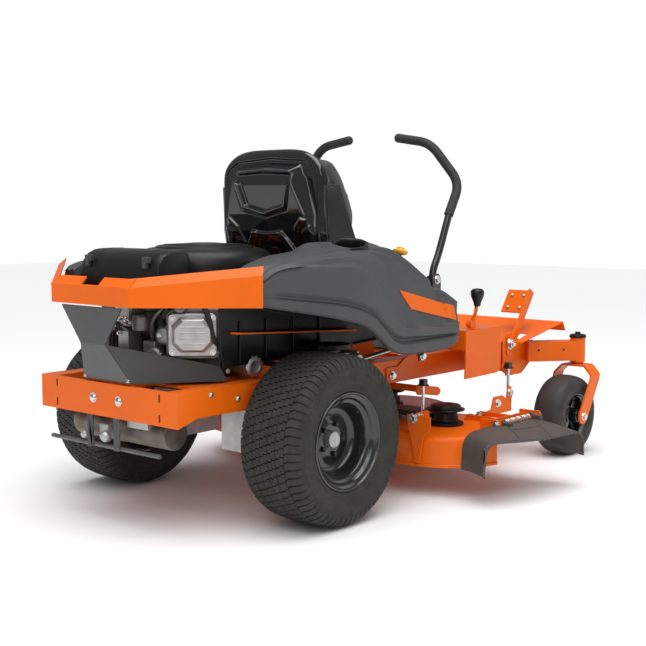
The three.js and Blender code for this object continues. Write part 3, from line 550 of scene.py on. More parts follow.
def add_caster(letter, side):
    centre = (CASTER_AXLE_X, side * CASTER_Y, CASTER_Z)
    outward = (0, side, 0)
    half = [(83, 48), (86, 53), (92, 56.5), (96, 57.6), (97, 59), (100, 59.2), (101, 58.6), (112, 60.6), (122, 60),
            (131, 56.5), (138, 51), (143.5, 43), (147, 33), (149.2, 20), (149.9, 6)]
    profile = half + [(r, -t) for r, t in half[::-1]] + [(80, -40), (80, 40)]
    piece(f"smooth_tyre_{letter}", Shape().lathe(profile, centre, outward, 96, closed=True), f"caster_wheel_{letter}",
          "smooth_rubber", [f"caster_tyre_{letter}"])
    rim = Shape()
    rim.lathe([(84, 49), (85.5, 52), (83.5, 53), (80, 51), (76, 44), (72, 40), (70, 30), (69, 0), (70, -30), (72, -40),
               (76, -44), (80, -51), (83.5, -53), (85.5, -52), (84, -49), (78, -40), (76, 0), (78, 40)],
              centre, outward, 72, closed=True)
    rim.lathe([(10, -63), (21, -63), (24, -60), (25, -30), (30, -26), (30, 26), (25, 30), (24, 60), (21, 63), (10, 63)],
              centre, outward, 40, closed=True)
    for k in range(6):
        turn = Matrix.Rotation(2 * math.pi * k / 6, 3, "Y")
        spoke = [(24, 11), (50, 7.5), (72, 12), (72, -12), (50, -7.5), (24, -11)]
        rings = [[Vector(centre) + turn @ Vector((a, y * (1.0 if a > 60 else 1.25), b)) for a, b in spoke]
                 for y in (-19, 19)]
        rim.rings(rings)
    rim.lathe([(70, -4), (70, 4), (28, 4), (28, -4)], centre, outward, 48, closed=True)
    piece(f"spoked_rim_{letter}", rim, f"caster_wheel_{letter}", "black_paint",
          [f"caster_rim_{letter}"], bevel=1.2)
    cap = Shape()
    top = (CASTER_X, side * CASTER_Y, 0)
    cap.lathe([(0, 434.6), (30.6, 434.6), (32, 436), (32, 440), (29, 446.4), (22, 448), (11, 448.6), (10.5, 455),
               (9, 456.6), (0, 457)], top, UP, 40)
    piece(f"dust_cap_{letter}", cap, f"caster_{letter}", "black_plastic")
    metal = Shape()
    metal.lathe([(13, 335), (22, 335.2), (23, 338), (20, 340), (13, 341.8)], top, UP, 32)
    for flip in (1, -1):
        metal.bolt((CASTER_AXLE_X, side * (CASTER_Y + flip * 82), CASTER_Z), (0, flip * side, 0), 13)
    for y in (-70, 70):
        metal.lathe([(12, y - 4), (20, y - 4), (20, y + 4), (12, y + 4)], centre, outward, 24)
    piece(f"axle_bolts_{letter}", metal, f"caster_{letter}", "zinc", smooth=30)
    keep(f"caster_arm_{letter}", "orange", 0.0)


sides(add_caster)

# ------------------------------------------------------------------ frame, bumper, guard
TUBE_CORNER = 4.0
for name in ("frame_rail_r", "frame_rail_l", "front_cross_tube", "rear_bumper", "engine_guard", "floor_pan",
             "side_box_r", "side_box_l", "seat_riser", "lift_shaft_rear", "lift_shaft_front", "engine_plate"):
    keep(name, "orange", TUBE_CORNER if name in ("frame_rail_r", "frame_rail_l", "front_cross_tube") else 1.0)
keep("guard_support", "grey_paint", 0.8)

bolts = Shape()
for y in (-57, 57):
    bolts.lathe([(0, 0), (15, 0), (15.5, 0.5), (15, 2), (0, 2)], (-455, y, 378), BACK, 32)
    bolts.dome((-457, y, 378), BACK, 11.5)
for x, y, z, axis, size in (
    (-330, -307, 408, RIGHT, 7), (-225, -307, 385, RIGHT, 7), (-200, -241, 455, (-0.3, -1, 0), 6),
    (-452, -96, 440, (-1, -0.2, 0.3), 6), (-452, 96, 440, (-1, 0.2, 0.3), 6),
):
    bolts.bolt((x, y, z), axis, size)
    bolts.bolt((x, -y, z), (axis[0], -axis[1], axis[2]), size)
piece("frame_bolts", bolts, "chassis", "zinc", smooth=30)

# Painted shade: black discs on the caster arms and black slots on the bumper's back stand for holes that are not cut.
hole_shade_marks = Shape()
ARM_ROOT = Vector((1272, -352, 392))
ARM_HALF = 28.2
run = unit((CASTER_X - ARM_ROOT.x, -CASTER_Y - ARM_ROOT.y, 0))
out = unit((-130, -161, 0))
for reach in (40, 140):
    for flip in (-1, 1):
        at = ARM_ROOT + run * reach + out * ARM_HALF
        at.y *= -flip
        hole_shade_marks.lathe([(0, -1), (4.4, -1), (4.4, 0.25), (0, 0.3)], at, (out.x, out.y * -flip, 0), 16)
for y in (-231, 231):
    for z in (348, 405):
        hole_shade_marks.block(-451.5, -449.9, y - 4, y + 4, z - 11, z + 11)
piece("dark_holes", hole_shade_marks, "chassis", "black_plastic")

hanging = Shape()
for y in (-38, 82):
    hanging.block(-451, -444, y - 12, y + 12, 230.5, 327)
    hanging.dome((-446, y, 243), BACK, 8)
hanging.tube([(-441, -216, 237), (-441, 277, 237)], 6.6, 12, bend=0)
piece("hanging_straps", hanging, "chassis", "dark_cast", bevel=0.8)
cast_bits = Shape()
cast_bits.block(-435, -400, 20, 60, 255, 300).block(-430, -380, -150, -60, 300, 338)
cast_bits.lathe([(0, 0), (17, 0), (19, 8), (14, 20), (0, 24)], (-436, 18, 268), (-1, 0, -0.3), 20)
cast_bits.lathe([(0, 0), (13, 0), (15, 8), (9, 16), (0, 18)], (-436, 118, 262), (-1, 0, -0.3), 20)
piece("tow_castings", cast_bits, "chassis", "cast", bevel=4, segments=3)

# ------------------------------------------------------------------ engine
for name in ("engine_block", "transaxle_r", "transaxle_l"):
    keep(name, "dark_cast" if name == "engine_block" else "cast", 2.0)
keep("muffler", "muffler", 3.0)
keep("crank_pulley", "black_paint", 1.0)

BANK_TURN = math.radians(45)
CRANK_X, CYLINDER_Z = -100.0, 565.0


def on_bank(shape, side):
    """A piece drawn pointing along -X from the crankshaft, turned to one cylinder's line."""
    turn = Matrix.Rotation(-side * BANK_TURN, 3, "Z")
    shape.points = [turn @ p + Vector((CRANK_X, 0, 0)) for p in shape.points]
    return shape


def chamfered(y_half, z_low, z_high, corner):
    """A rectangle with its corners cut off."""
    return [(-y_half + corner, z_low), (y_half - corner, z_low), (y_half, z_low + corner), (y_half, z_high - corner),
            (y_half - corner, z_high), (-y_half + corner, z_high), (-y_half, z_high - corner),
            (-y_half, z_low + corner)]


def add_bank(letter, side):
    cover = Shape()
    low, high = CYLINDER_Z - 61, CYLINDER_Z + 61
    cover.prism(chamfered(69, low, high, 10), "x", -270, -258.5)
    cover.rings([[(x, y, z) for y, z in chamfered(h, CYLINDER_Z - v, CYLINDER_Z + v, 24)]
                 for x, h, v in ((-269, 60, 51), (-284, 57, 48), (-292, 50, 42))])
    for z in (-24, -8, 8, 24):
        cover.rings([[(x, y, CYLINDER_Z + z + k) for y, k in ((-38, -2.6), (38, -2.6), (38, 2.6), (-38, 2.6))]
                     for x in (-290, -294)])
    piece(f"valve_lid_{letter}", on_bank(cover, side), "chassis", "cast", [f"valve_cover_{letter}"],
          bevel=2.2, segments=3)
    fixings = Shape()
    for y in (-58, 58):
        for z in (CYLINDER_Z - 50, CYLINDER_Z + 50):
            fixings.lathe([(8, 0), (8.5, 6), (0, 6)], (-270, y, z), BACK, 20)
            fixings.lathe([(5.5, 6), (5.5, 11), (4.5, 12), (0, 12)], (-270, y, z), BACK, 6)
    piece(f"lid_screws_{letter}", on_bank(fixings, side), "chassis", "zinc", smooth=30)
    fins = Shape()
    for i in range(11):
        x = -160 - i * 8.6
        fins.prism(chamfered(76, CYLINDER_Z - 71, CYLINDER_Z + 71, 14), "x", x - 2.4, x)
    piece(f"cooling_fins_{letter}", on_bank(fins, side), "chassis", "dark_cast", bevel=0.6)


sides(add_bank)

BLOWER_X = -62.0
GRILLE_RINGS, GRILLE_SPOKES = 6, 24
shroud = Shape().lathe([(0, 668), (196, 668), (206, 672), (213, 681), (214, 700), (214, 756), (211, 774), (203, 789),
                        (190, 799), (172, 804), (160, 806), (157, 803), (156, 792), (0, 791)],
                       (BLOWER_X, 0, 0), UP, 96)
piece("blower_cover", shroud, "chassis", "black_plastic", ["blower_housing"], smooth=40)
grille = Shape()
grille.lathe([(60, 806), (150, 800), (153, 804), (150, 810), (140, 813.5), (128, 814)], (BLOWER_X, 0, 0), UP,
             96, closed=True)
grille.lathe([(0, 801), (58, 801), (60, 812), (56, 819), (40, 820.5), (0, 821)], (BLOWER_X, 0, 0), UP, 64)
for ring in range(GRILLE_RINGS):
    radius = 70 + ring * 11
    grille.lathe([(radius - 2.2, 809), (radius + 2.2, 809), (radius + 2.2, 818 - ring * 0.5),
                  (radius - 2.2, 818.3 - ring * 0.5)], (BLOWER_X, 0, 0), UP, 72, closed=True)
for k in range(GRILLE_SPOKES):
    angle = 2 * math.pi * k / GRILLE_SPOKES
    along = Vector((math.cos(angle), math.sin(angle), 0))
    across = Vector((-along.y, along.x, 0)) * 1.8
    grille.rings([[Vector((BLOWER_X, 0, z)) + along * r + across * way
                   for way, z in ((-1, low), (1, low), (1, high), (-1, high))]
                  for r, low, high in ((54, 808, 818), (140, 805, 813))])
piece("fan_grille", grille, "screen", "black_plastic", ["fan_screen"], bevel=0.5)

cleaner = Shape()
bulge = [(-66, 671), (-66, 700), (-64, 742), (-56, 774), (-38, 796), (-14, 806), (14, 808), (50, 808), (66, 800),
         (69, 780), (69, 671)]
stations = ((-176, 0.80, 0.86), (-172, 0.92, 0.95), (-160, 0.99, 0.99), (-150, 1, 1), (0, 1, 1), (150, 1, 1),
            (160, 0.99, 0.99), (172, 0.92, 0.95), (176, 0.80, 0.86))
cleaner.rings([[(-345 + dx * sx, y, 671 + (z - 671) * sz) for dx, z in bulge] for y, sx, sz in stations])
for y in (-110, 110):
    cleaner.rings([[(-345 + dx * 1.015, yy, 671 + (z - 671) * 1.008) for dx, z in bulge] for yy in (y - 3, y + 3)])
piece("air_cleaner_lid", cleaner, "chassis", "black_plastic", ["air_cleaner"], bevel=1.5, smooth=50)
clips = Shape()
for y in (-128, 128):
    clips.block(-412, -398, y - 14, y + 14, 772, 790).block(-416, -404, y - 8, y + 8, 758, 776)
piece("cleaner_clips", clips, "chassis", "grey_plastic", bevel=1.5)

filter_axis = Vector((-17, -92, 0)).normalized()
filter_at = Vector((-95, -170, 462))
can = Shape().lathe([(0, 0), (30, 0), (31, 4), (31, 74), (30, 80), (28, 84)], filter_at, filter_axis, 48)
can.lathe([(28, 80), (30.5, 82), (31.2, 88), (30, 95), (26, 99), (18, 100.5), (16, 99), (0, 98)], filter_at,
          filter_axis, 48)
side = filter_axis.orthogonal().normalized()
over = filter_axis.cross(side)
for k in range(12):
    angle = 2 * math.pi * k / 12
    at = filter_at + filter_axis * 84 + (side * math.cos(angle) + over * math.sin(angle)) * 30
    can.lathe([(2.6, 0), (2.4, 12), (0, 13)], at, filter_axis, 8)
piece("filter_can", can, "chassis", "cast", ["oil_filter"])


def add_engine_dressing():
    """Intake, carburettor, hoses, leads, springs and links round the cylinders."""
    metal, dark, hose, bright = Shape(), Shape(), Shape(), Shape()
    metal.tube([(-250, -105, 640), (-290, -70, 652), (-330, 0, 640), (-290, 70, 652), (-250, 105, 640)], 19, 20, 50)
    metal.lathe([(0, 0), (34, 0), (36, 6), (36, 14), (26, 18), (26, 52), (34, 56), (34, 66), (0, 66)],
                (-322, 0, 655), (-1, 0, -0.15), 32)
    metal.lathe([(0, 0), (30, 0), (31, 8), (29, 34), (20, 44), (0, 46)], (-360, 0, 628), (0, 0, -1), 32)
    metal.block(-392, -340, -30, 30, 598, 652)
    metal.lathe([(0, 0), (26, 0), (28, 4), (28, 20), (20, 26), (0, 27)], (-300, -92, 560), (-1, -0.35, 0), 28)
    metal.lathe([(0, 0), (20, 0), (21, 16), (14, 22), (0, 22)], (-330, -78, 505), (-1, -0.5, 0), 24)
    metal.block(-330, -290, -70, -20, 470, 540).block(-352, -300, 20, 66, 500, 566)
    for y in (-52, -26, 0, 26, 52):
        metal.block(-318, -232, y - 3, y + 3, 430, 500)
    metal.lathe([(0, 0), (46, 0), (48, 4), (48, 12), (40, 16), (0, 16)], (-262, 0, 480), BACK, 40)
    dark.lathe([(0, 0), (22, 0), (24, 6), (24, 40), (18, 46), (0, 46)], (-372, -58, 575), UP, 28)
    dark.block(-386, -330, 40, 100, 570, 640)
    dark.lathe([(0, 0), (17, 0), (17, 30), (9, 34), (9, 44), (0, 44)], (-300, -150, 640), (-0.7, -0.7, 0.2), 20)
    dark.tube([(-300, -138, 655), (-345, -118, 640), (-350, -80, 600), (-330, -60, 560), (-300, -40, 520)], 6, 10, 30)
    hose.tube([(-345, -150, 668), (-352, -142, 630), (-340, -120, 612), (-318, -90, 640), (-300, -70, 655)],
              6.5, 12, 26)
    hose.tube([(-270, -205, 664), (-266, -236, 610), (-262, -240, 560), (-200, -232, 500), (-170, -190, 470)],
              8, 12, 30)
    hose.tube([(-150, -205, 664), (-170, -222, 590), (-196, -226, 520), (-150, -210, 480), (-60, -215, 500)], 7, 12, 30)
    hose.tube([(-60, -214, 664), (-60, -232, 600), (-90, -236, 540), (-60, -225, 470), (20, -235, 450)], 9, 12, 30)
    hose.tube([(-280, 205, 664), (-272, 238, 600), (-230, 236, 520), (-170, 195, 470)], 8, 12, 30)
    for y, z in ((-40, 590), (20, 585), (60, 560)):
        bright.tube([(-396, y, z), (-396, y + 26, z + 4), (-380, y + 52, z + 30), (-350, y + 60, z + 48)], 2.0, 8, 10)
    bright.spring((-398, -46, 600), (-392, 12, 612), 5, 1.2, 14)
    bright.spring((-372, 66, 598), (-350, 20, 566), 5, 1.2, 12)
    for at in ((-393, -18, 640), (-393, 18, 640), (-393, -18, 608), (-393, 18, 608), (-358, 44, 508), (-358, 58, 558)):
        bright.bolt(at, BACK, 5)
    for at in ((-330, -92, 560), (-334, -98, 505)):
        bright.bolt(at, (-1, -0.4, 0), 6)
    for k in range(3):
        angle = 2.1 * k + 0.4
        bright.bolt((-278, 34 * math.cos(angle), 480 + 34 * math.sin(angle)), BACK, 5)
    for x, y in ((-345, -150), (-270, -205), (-150, -205), (-60, -214)):
        bright.lathe([(8.8, -4), (9.4, -4), (9.4, 4), (8.8, 4)], (x, y, 656), (0, 0.2, 1), 20)
    plug = Shape()
    for flip in (-1, 1):
        plug.tube([(-300, flip * 96, 632), (-322, flip * 100, 618), (-330, flip * 120, 590)], 7, 12, 14)
        plug.tube([(-300, flip * 96, 632), (-255, flip * 80, 664), (-180, flip * 60, 667)], 3.5, 8, 20)
    piece("intake", metal, "chassis", "cast", bevel=1.8, segments=2)
    piece("carburettor", dark, "chassis", "dark_cast", bevel=1.5)
    piece("hoses", hose, "chassis", "belt")
    piece("engine_links", bright, "chassis", "zinc", smooth=30)
    piece("plug_leads", plug, "chassis", "black_plastic")


add_engine_dressing()

# ------------------------------------------------------------------ fenders
def line(*points):
    """A polyline as a function, with its corners eased."""
    xs, ys = zip(*points)
    return lambda x: float(np.mean([np.interp(x + ease, xs, ys) for ease in (-18, -9, 0, 9, 18)]))


FENDER_REAR, FENDER_FRONT, FENDER_STATIONS = -262, 742, 93
CONSOLE_REAR, CONSOLE_FRONT, CONSOLE_STATIONS = -215, 604, 79
SKIN = 5.0
plan = line((-262, 437), (-140, 484), (-60, 512), (30, 531), (120, 533), (540, 533), (600, 500), (742, 402))
bottom = line((-262, 659), (-61, 621), (60, 593), (100, 578), (134, 557), (190, 513), (235, 489), (290, 481),
              (420, 480), (500, 484), (600, 500), (742, 506))
groove = line((-262, 684), (-9, 652), (71, 634), (119, 612), (165, 575), (205, 541), (241, 523), (300, 519),
              (471, 520), (600, 524), (742, 530))
crest = line((-262, 716), (-250, 732), (-228, 748), (-200, 758), (-150, 763), (34, 757), (70, 750), (99, 735),
             (140, 697), (183, 652), (225, 600), (255, 570), (285, 556), (340, 549), (471, 541), (600, 538),
             (742, 540))
ridge = line((-262, 722), (-228, 752), (-200, 764), (-150, 773), (0, 781), (130, 785), (200, 783), (236, 760),
             (275, 708), (305, 668), (336, 616), (362, 592), (390, 578), (471, 562), (600, 548), (742, 546))
shoulder = line((-262, 727), (-228, 757), (-179, 774), (-75, 780), (8, 788), (130, 796), (270, 796), (340, 780),
                (414, 752), (500, 710), (581, 668), (636, 642), (742, 590))


def stations(first, last, count):
    return [first + (last - first) * k / (count - 1) for k in range(count)]


def fender_shape(squeeze):
    """The outer moulding: lip, groove, flank, crest, sculpted panel and shoulder, and a hem inside it."""
    rings = []
    for x in stations(FENDER_REAR, FENDER_FRONT, FENDER_STATIONS):
        out = plan(x)
        zb, zg, zc, zr, zs = (f(x) for f in (bottom, groove, crest, ridge, shoulder))
        reach = zc - zg
        end = min(1.0, (x - FENDER_REAR) / 60.0)
        far = min(1.0, (FENDER_FRONT - x) / 120.0)
        ridge_y = min(out - 8, 470)
        top_y = min(out - 14, 400 + 25 * min(1.0, max(0.0, (x - 592) / 12.0)))
        dent = (12 * end * min(1.0, reach / 40 + 0.4)) * (0.3 + 0.7 * far)
        section = [
            (out - 22, zb + 3), (out - 6, zb), (out - 1, zb + 4), (out - 1, zg - 9), (out - 1 - dent * 0.4, zg - 4),
            (out - 1 - dent, zg + 1), (out - 1 - dent * 0.85, zg + min(9, reach * 0.3)),
            (out, zg + min(20, reach * 0.55)), (out + 0.5, zc - min(14, reach * 0.25)),
            (out - 4, zc - 1), (out - 14 * (0.4 + 0.6 * far), zc + 5 * far),
            (ridge_y + 10 * far, max(zc + 3, zr - 14)), (ridge_y, zr), (ridge_y - 8 * far, zr + 3 * far),
            (top_y + 16 * far, zs - 7 * far), (top_y, zs), (top_y - 9, zs - 3), (top_y - 11, zs - 30),
        ]
        rings.append([(x, -y, squeeze(z)) for y, z in section])
    return Shape().rings(rings, closed=False, caps=False)


def console_shape(squeeze):
    """The inner moulding beside the seat, with a raised top."""
    crown_line = line((-215, 720), (-150, 758), (-60, 783), (40, 792), (82, 800), (106, 816), (160, 820), (330, 818),
                      (380, 808), (430, 785), (500, 752), (604, 692))
    fall = line((60, 0), (120, 15), (330, 15), (420, 0))
    low = line((-215, 652), (-61, 625), (60, 597), (134, 562), (190, 519), (241, 494), (354, 486), (604, 499))
    rings = []
    for x in stations(CONSOLE_REAR, CONSOLE_FRONT, CONSOLE_STATIONS):
        top = crown_line(x)
        base = min(shoulder(x) - 12, top - 10)
        lean = 12 + 0.25 * (top - base)
        rings.append([(x, y, squeeze(z)) for y, z in (
            (-397, base - 30), (-397, base), (-397 + lean * 0.8, top - 7 - fall(x)),
            (-397 + lean, top - 1.5 - fall(x)), (-388 + lean, top - fall(x)),
            (-300, top + 1 - fall(x) * 0.3), (-262, top), (-250, top - 3), (-246, top - 12),
            (-246, top - 60), (-246, low(x) + 2), (-262, low(x)),
        )])
    return Shape().rings(rings, closed=False, caps=False)


def thickened(name, skin, thick, soft, angle):
    """A skin with its thickness, and only its real edges rounded."""
    obj = make_object(name, skin, 0)
    solid = obj.modifiers.new("skin", "SOLIDIFY")
    solid.thickness = thick * MM
    solid.offset = 0.0
    baked(obj)
    rounding(obj, soft, 2, angle)
    baked(obj)
    obj.data.shade_smooth()
    return obj


def add_fender(letter, side):
    def squeeze(z):
        """The left side's console is lower."""
        return 740 + (z - 740) * 0.42 if side > 0 and z >= 740 else z
    skin = fender_shape(squeeze).on(side)
    console = console_shape(squeeze).on(side)
    section = len(console.points) // CONSOLE_STATIONS
    end = Shape()
    for points in (console.points[-section:], console.points[:section]):
        end.put(points, [tuple(range(section))])
    outer = thickened(f"fender_skin_{letter}", skin, SKIN, 2.4, 16)
    inner = thickened(f"console_{letter}", console, SKIN, 2.4, 16)
    if side < 0:
        cut_cup(inner)
    for obj in (outer, inner):
        dress(obj, "chassis", "grey_plastic")
    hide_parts(f"fender_{letter}")
    tail = Shape()
    first_ring = skin.points[:len(skin.points) // FENDER_STATIONS]
    tail.prism([(p.y, p.z) for p in first_ring], "x", -261.8, -258.5)
    tail.prism([(side * 397, 648), (side * 397, 712), (side * 250, 712), (side * 250, 648)], "x", -214, -210)
    piece(f"fender_tail_{letter}", tail, "chassis", "grey_plastic", smooth=20)
    piece(f"console_ends_{letter}", end, "chassis", "grey_plastic")
    trim = Shape()
    edge = [(x, shoulder(x) + 1) for x in (330, 370, 414, 460, 500, 540, 581, 612)]
    trim.rings([[(x, y, squeeze(z + rise)) for y, rise in ((-392, -5), (-386, -5), (-386, 3.5), (-392, 3.5))]
                for x, z in edge])
    piece(f"console_trim_{letter}", trim.on(side), "chassis", "orange", bevel=1.0)
    add_badge(outer, letter, side, squeeze)


CUP = (230.0, -345.0)


def cut_cup(obj):
    """Opens the console for the cup holder."""
    tool = make_object("cup_tool", Shape().lathe([(50, 690), (50, 870)], (*CUP, 0), UP, 64))
    opening = obj.modifiers.new("cup", "BOOLEAN")
    opening.operation = "DIFFERENCE"
    opening.object = tool
    baked(obj)
    bpy.data.objects.remove(tool)


BADGE_PROUD, BADGE_SUNK = 0.0022, 0.001


def add_badge(skin, letter, side, squeeze):
    """The blank orange panel, laid on the sculpted flank."""
    bpy.context.view_layer.update()
    tree = BVHTree.FromObject(skin, bpy.context.evaluated_depsgraph_get())
    rear_top, front_top, front_low, rear_low = (
        Vector((348, 0, 672)), Vector((648, 0, 603)), Vector((664, 0, 552)), Vector((398, 0, 609)))
    across, high = 26, 6
    face_points, back_points = [], []
    for j in range(high + 1):
        for i in range(across + 1):
            u, v = i / across, j / high
            at = rear_top.lerp(front_top, u).lerp(rear_low.lerp(front_low, u), v)
            spot, normal, _, _ = tree.ray_cast(row((at.x, side * 700, squeeze(at.z))), Vector((0, -side, 0)))
            if spot is None:
                spot, normal = row((at.x, side * plan(at.x), squeeze(at.z))), Vector((0, side, 0))
            if normal.y * side < 0:
                normal = -normal
            face_points.append(spot + normal * BADGE_PROUD)
            back_points.append(spot - normal * BADGE_SUNK)
    width = across + 1
    faces = [(j * width + i, j * width + i + 1, (j + 1) * width + i + 1, (j + 1) * width + i)
             for j in range(high) for i in range(across)]
    back = len(face_points)
    rim = ([(i, i + 1) for i in range(across)]
           + [(j * width + across, (j + 1) * width + across) for j in range(high)]
           + [(high * width + i + 1, high * width + i) for i in range(across)]
           + [((j + 1) * width, j * width) for j in range(high)])
    faces += [tuple(back + i for i in face) for face in faces]
    faces += [(a, b, back + b, back + a) for a, b in rim]
    dress(mesh_object(f"side_panel_{letter}", face_points + back_points, faces, 40), "chassis", "orange")


sides(add_fender)
cup = Shape().lathe([(0, -99), (32, -99), (36, -95), (43, -26), (45, -5), (46.5, 0), (51, 2.4), (56.5, 0.8),
                     (58.5, -4), (57.5, -14), (53, -16), (48, -10), (40, -96), (35, -103), (0, -104)],
                    (*CUP, 818), (-0.2, -0.2, 1), 72)
piece("cup_liner", cup, "chassis", "black_plastic", smooth=50)

# ------------------------------------------------------------------ seat
BACK_X, SEAT_HALF = 228.0, 230.0


def inside(points, polygon):
    """Signed distance of points to a polygon's edge, positive inside."""
    x, y = points
    distance = np.full(x.shape, 1e9)
    within = np.zeros(x.shape, bool)
    for (ax, ay), (bx, by) in zip(polygon, polygon[1:] + polygon[:1]):
        dx, dy = bx - ax, by - ay
        if abs(dx) + abs(dy) < 1e-9:
            continue
        t = np.clip(((x - ax) * dx + (y - ay) * dy) / (dx * dx + dy * dy), 0, 1)
        distance = np.minimum(distance, np.hypot(x - ax - t * dx, y - ay - t * dy))
        crossing = (ay > y) != (by > y)
        with np.errstate(divide="ignore", invalid="ignore"):
            within ^= crossing & (x < (bx - ax) * (y - ay) / (by - ay) + ax)
    return np.where(within, distance, -distance)


def step(distance, blur):
    t = np.clip(distance / blur + 0.5, 0, 1)
    return t * t * (3 - 2 * t)


def mirror_outline(points):
    """A symmetric outline from its left half, listed from the top middle round to the bottom middle."""
    return points + [(-y, z) for y, z in points[::-1]]


def seat_relief(y, z):
    """How far the seat's back stands out rearwards at each point, in millimetres."""
    stand = np.interp(z, (700, 760, 835, 907, 1000, 1200), (2, 4, 12, 33, 48, 50))
    body = mirror_outline([(0, 1062), (124, 1054), (150, 985), (182, 905), (196, 862), (200, 700)])
    relief = stand * step(inside((y, z), body), 34)
    groove = mirror_outline([(0, 1088), (150, 1078), (188, 1056), (203, 1034), (206, 700)])
    relief -= 5 * step(inside((y, z), groove), 6)
    panel = mirror_outline([(0, 1043), (122, 1037), (122, 1000), (100, 922), (0, 897)])
    relief -= 11 * step(inside((y, z), panel), 12)
    rib = [(122, 1004), (98, 926), (0, 900), (-98, 926), (-122, 1004), (-106, 1006), (-84, 938), (0, 918), (84, 938),
           (106, 1006)]
    relief += 15 * step(inside((y, z), rib), 9)
    for flip in (1, -1):
        hook = [(flip * a, b) for a, b in ((176, 888), (158, 896), (128, 868), (108, 812), (122, 808), (142, 862))]
        relief += 10 * step(inside((y, z), hook), 9)
        leg = [(flip * a, b) for a, b in ((48, 852), (66, 852), (124, 776), (118, 752), (104, 756), (56, 834))]
        relief += 12 * step(inside((y, z), leg), 9)
        vent = [(flip * a, b) for a, b in ((150, 1030), (176, 1016), (196, 930), (204, 850), (196, 846), (172, 930))]
        relief -= 4 * step(inside((y, z), vent), 10)
        frame_rib = [(flip * a, b) for a, b in ((150, 850), (188, 872), (196, 800), (190, 720), (178, 720), (176, 800))]
        relief += 6 * step(inside((y, z), frame_rib), 9)
    top = mirror_outline([(0, 846), (62, 850), (66, 838), (0, 832)])
    relief += 12 * step(inside((y, z), top), 9)
    arch = mirror_outline([(0, 826), (48, 822), (86, 762), (90, 690), (0, 690)])
    relief -= 9 * step(inside((y, z), arch), 9)
    return relief


def add_seat():
    across, tall = 230, 210
    uu, vv = np.meshgrid(np.linspace(-1, 1, across), np.linspace(0, 1, tall))
    y = uu * SEAT_HALF
    z_top = 1000 + 117 * np.sqrt(np.clip(1 - np.abs(uu) ** 4, 0, 1))
    z = 700 + vv * (z_top - 700)
    edge = 1 - np.abs(uu)
    x = BACK_X - seat_relief(y, z)
    x += np.interp(z, (700, 850, 1100), (34, 6, 8))
    x += 26 * np.exp(-edge * SEAT_HALF / 7) + 14 * np.exp(-(z_top - z) / 7)
    rings = [[(x[j, i], y[j, i], z[j, i]) for i in range(across)] for j in range(tall)]
    front = [[(max(x[j, i] + 6, 262), y[j, i] * 0.985, z[j, i] - 4 * vv[j, i]) for i in range(across)]
             for j in range(tall)]
    shell = Shape().rings(rings, closed=False, caps=False)
    shell.rings(front, closed=False, caps=False)
    n = across * tall
    border = (list(range(across)) + [j * across + across - 1 for j in range(1, tall)]
              + [(tall - 1) * across + i for i in range(across - 2, -1, -1)]
              + [j * across for j in range(tall - 2, 0, -1)])
    for a, b in zip(border, border[1:] + border[:1]):
        shell.faces.append([a, b, n + b, n + a])
    piece("seat_back_shell", shell, "seat", "seat_shell", smooth=60)
    wings = Shape()
    wing = [(244, 996), (246, 960), (250, 860), (268, 740), (300, 676), (610, 672), (634, 690), (636, 716),
            (600, 738), (500, 748), (430, 762), (420, 784), (398, 832), (362, 905), (318, 1000), (280, 1004)]
    wings.rings([[(xx + dx, yy, zz) for xx, zz in wing] for yy, dx in ((-230, 0), (-223, -1))])
    wings.both()
    inner_wing = [(xx + 10, zz - 6) for xx, zz in wing[:4]] + [(310, 690), (600, 686), (616, 700), (590, 722),
                                                               (500, 730), (430, 746), (406, 776), (382, 826),
                                                               (346, 905), (306, 988), (276, 994)]
    wings.prism(inner_wing, "y", -232.5, -229).prism(inner_wing, "y", 229, 232.5)
    pan = [(262, 700), (300, 668), (608, 664), (634, 676), (642, 696), (636, 716), (590, 706), (400, 704), (330, 720)]
    wings.prism(pan, "y", -223, 223)
    piece("seat_pan", wings, "seat", "seat_shell", ["seat_shell"], bevel=4, segments=3, smooth=40)
    brackets = Shape()
    for yy in (-120, 120):
        brackets.block(300, 560, yy - 15, yy + 15, 642, 668)
    brackets.block(320, 344, -180, 180, 650, 664)
    piece("seat_rails", brackets, "seat", "black_paint", bevel=2)
    props = Shape()
    for yy in (-172, -40, 40, 172):
        lean = 10 if abs(yy) > 100 else 0
        props.rings([[(208 - lean, yy - 14, zz), (214 - lean, yy - 14, zz), (214 - lean, yy + 14, zz),
                      (208 - lean, yy + 14, zz)] for zz in (430, 770 if abs(yy) < 100 else 800)])
    props.block(200, 208, -188, 188, 600, 660)
    piece("seat_props", props, "chassis", "orange", bevel=1.5)
    rubber = Shape()
    for yy in (-150, 150):
        rubber.lathe([(0, 641), (17, 641), (19, 645), (14, 652), (0, 652)], (480, yy, 0), UP, 24)
    piece("seat_bumpers", rubber, "chassis", "belt")


add_seat()

SIMULATED_FRAMES = 20
PAD_HALF, PAD_VOXEL, PAD_PRESSURE, PAD_TRAVEL, PAD_FILL = 203, 5.0, 4.0, 12.0, 0.7


def read(obj, kind):
    """The mesh's points or normals, one row each."""
    values = np.empty(len(obj.data.vertices) * 3)
    obj.data.vertices.foreach_get(kind, values)
    return values.reshape(-1, 3)


def subdivided(obj, levels):
    modifier = obj.modifiers.new("round", "SUBSURF")
    modifier.levels = modifier.render_levels = levels
    baked(obj)


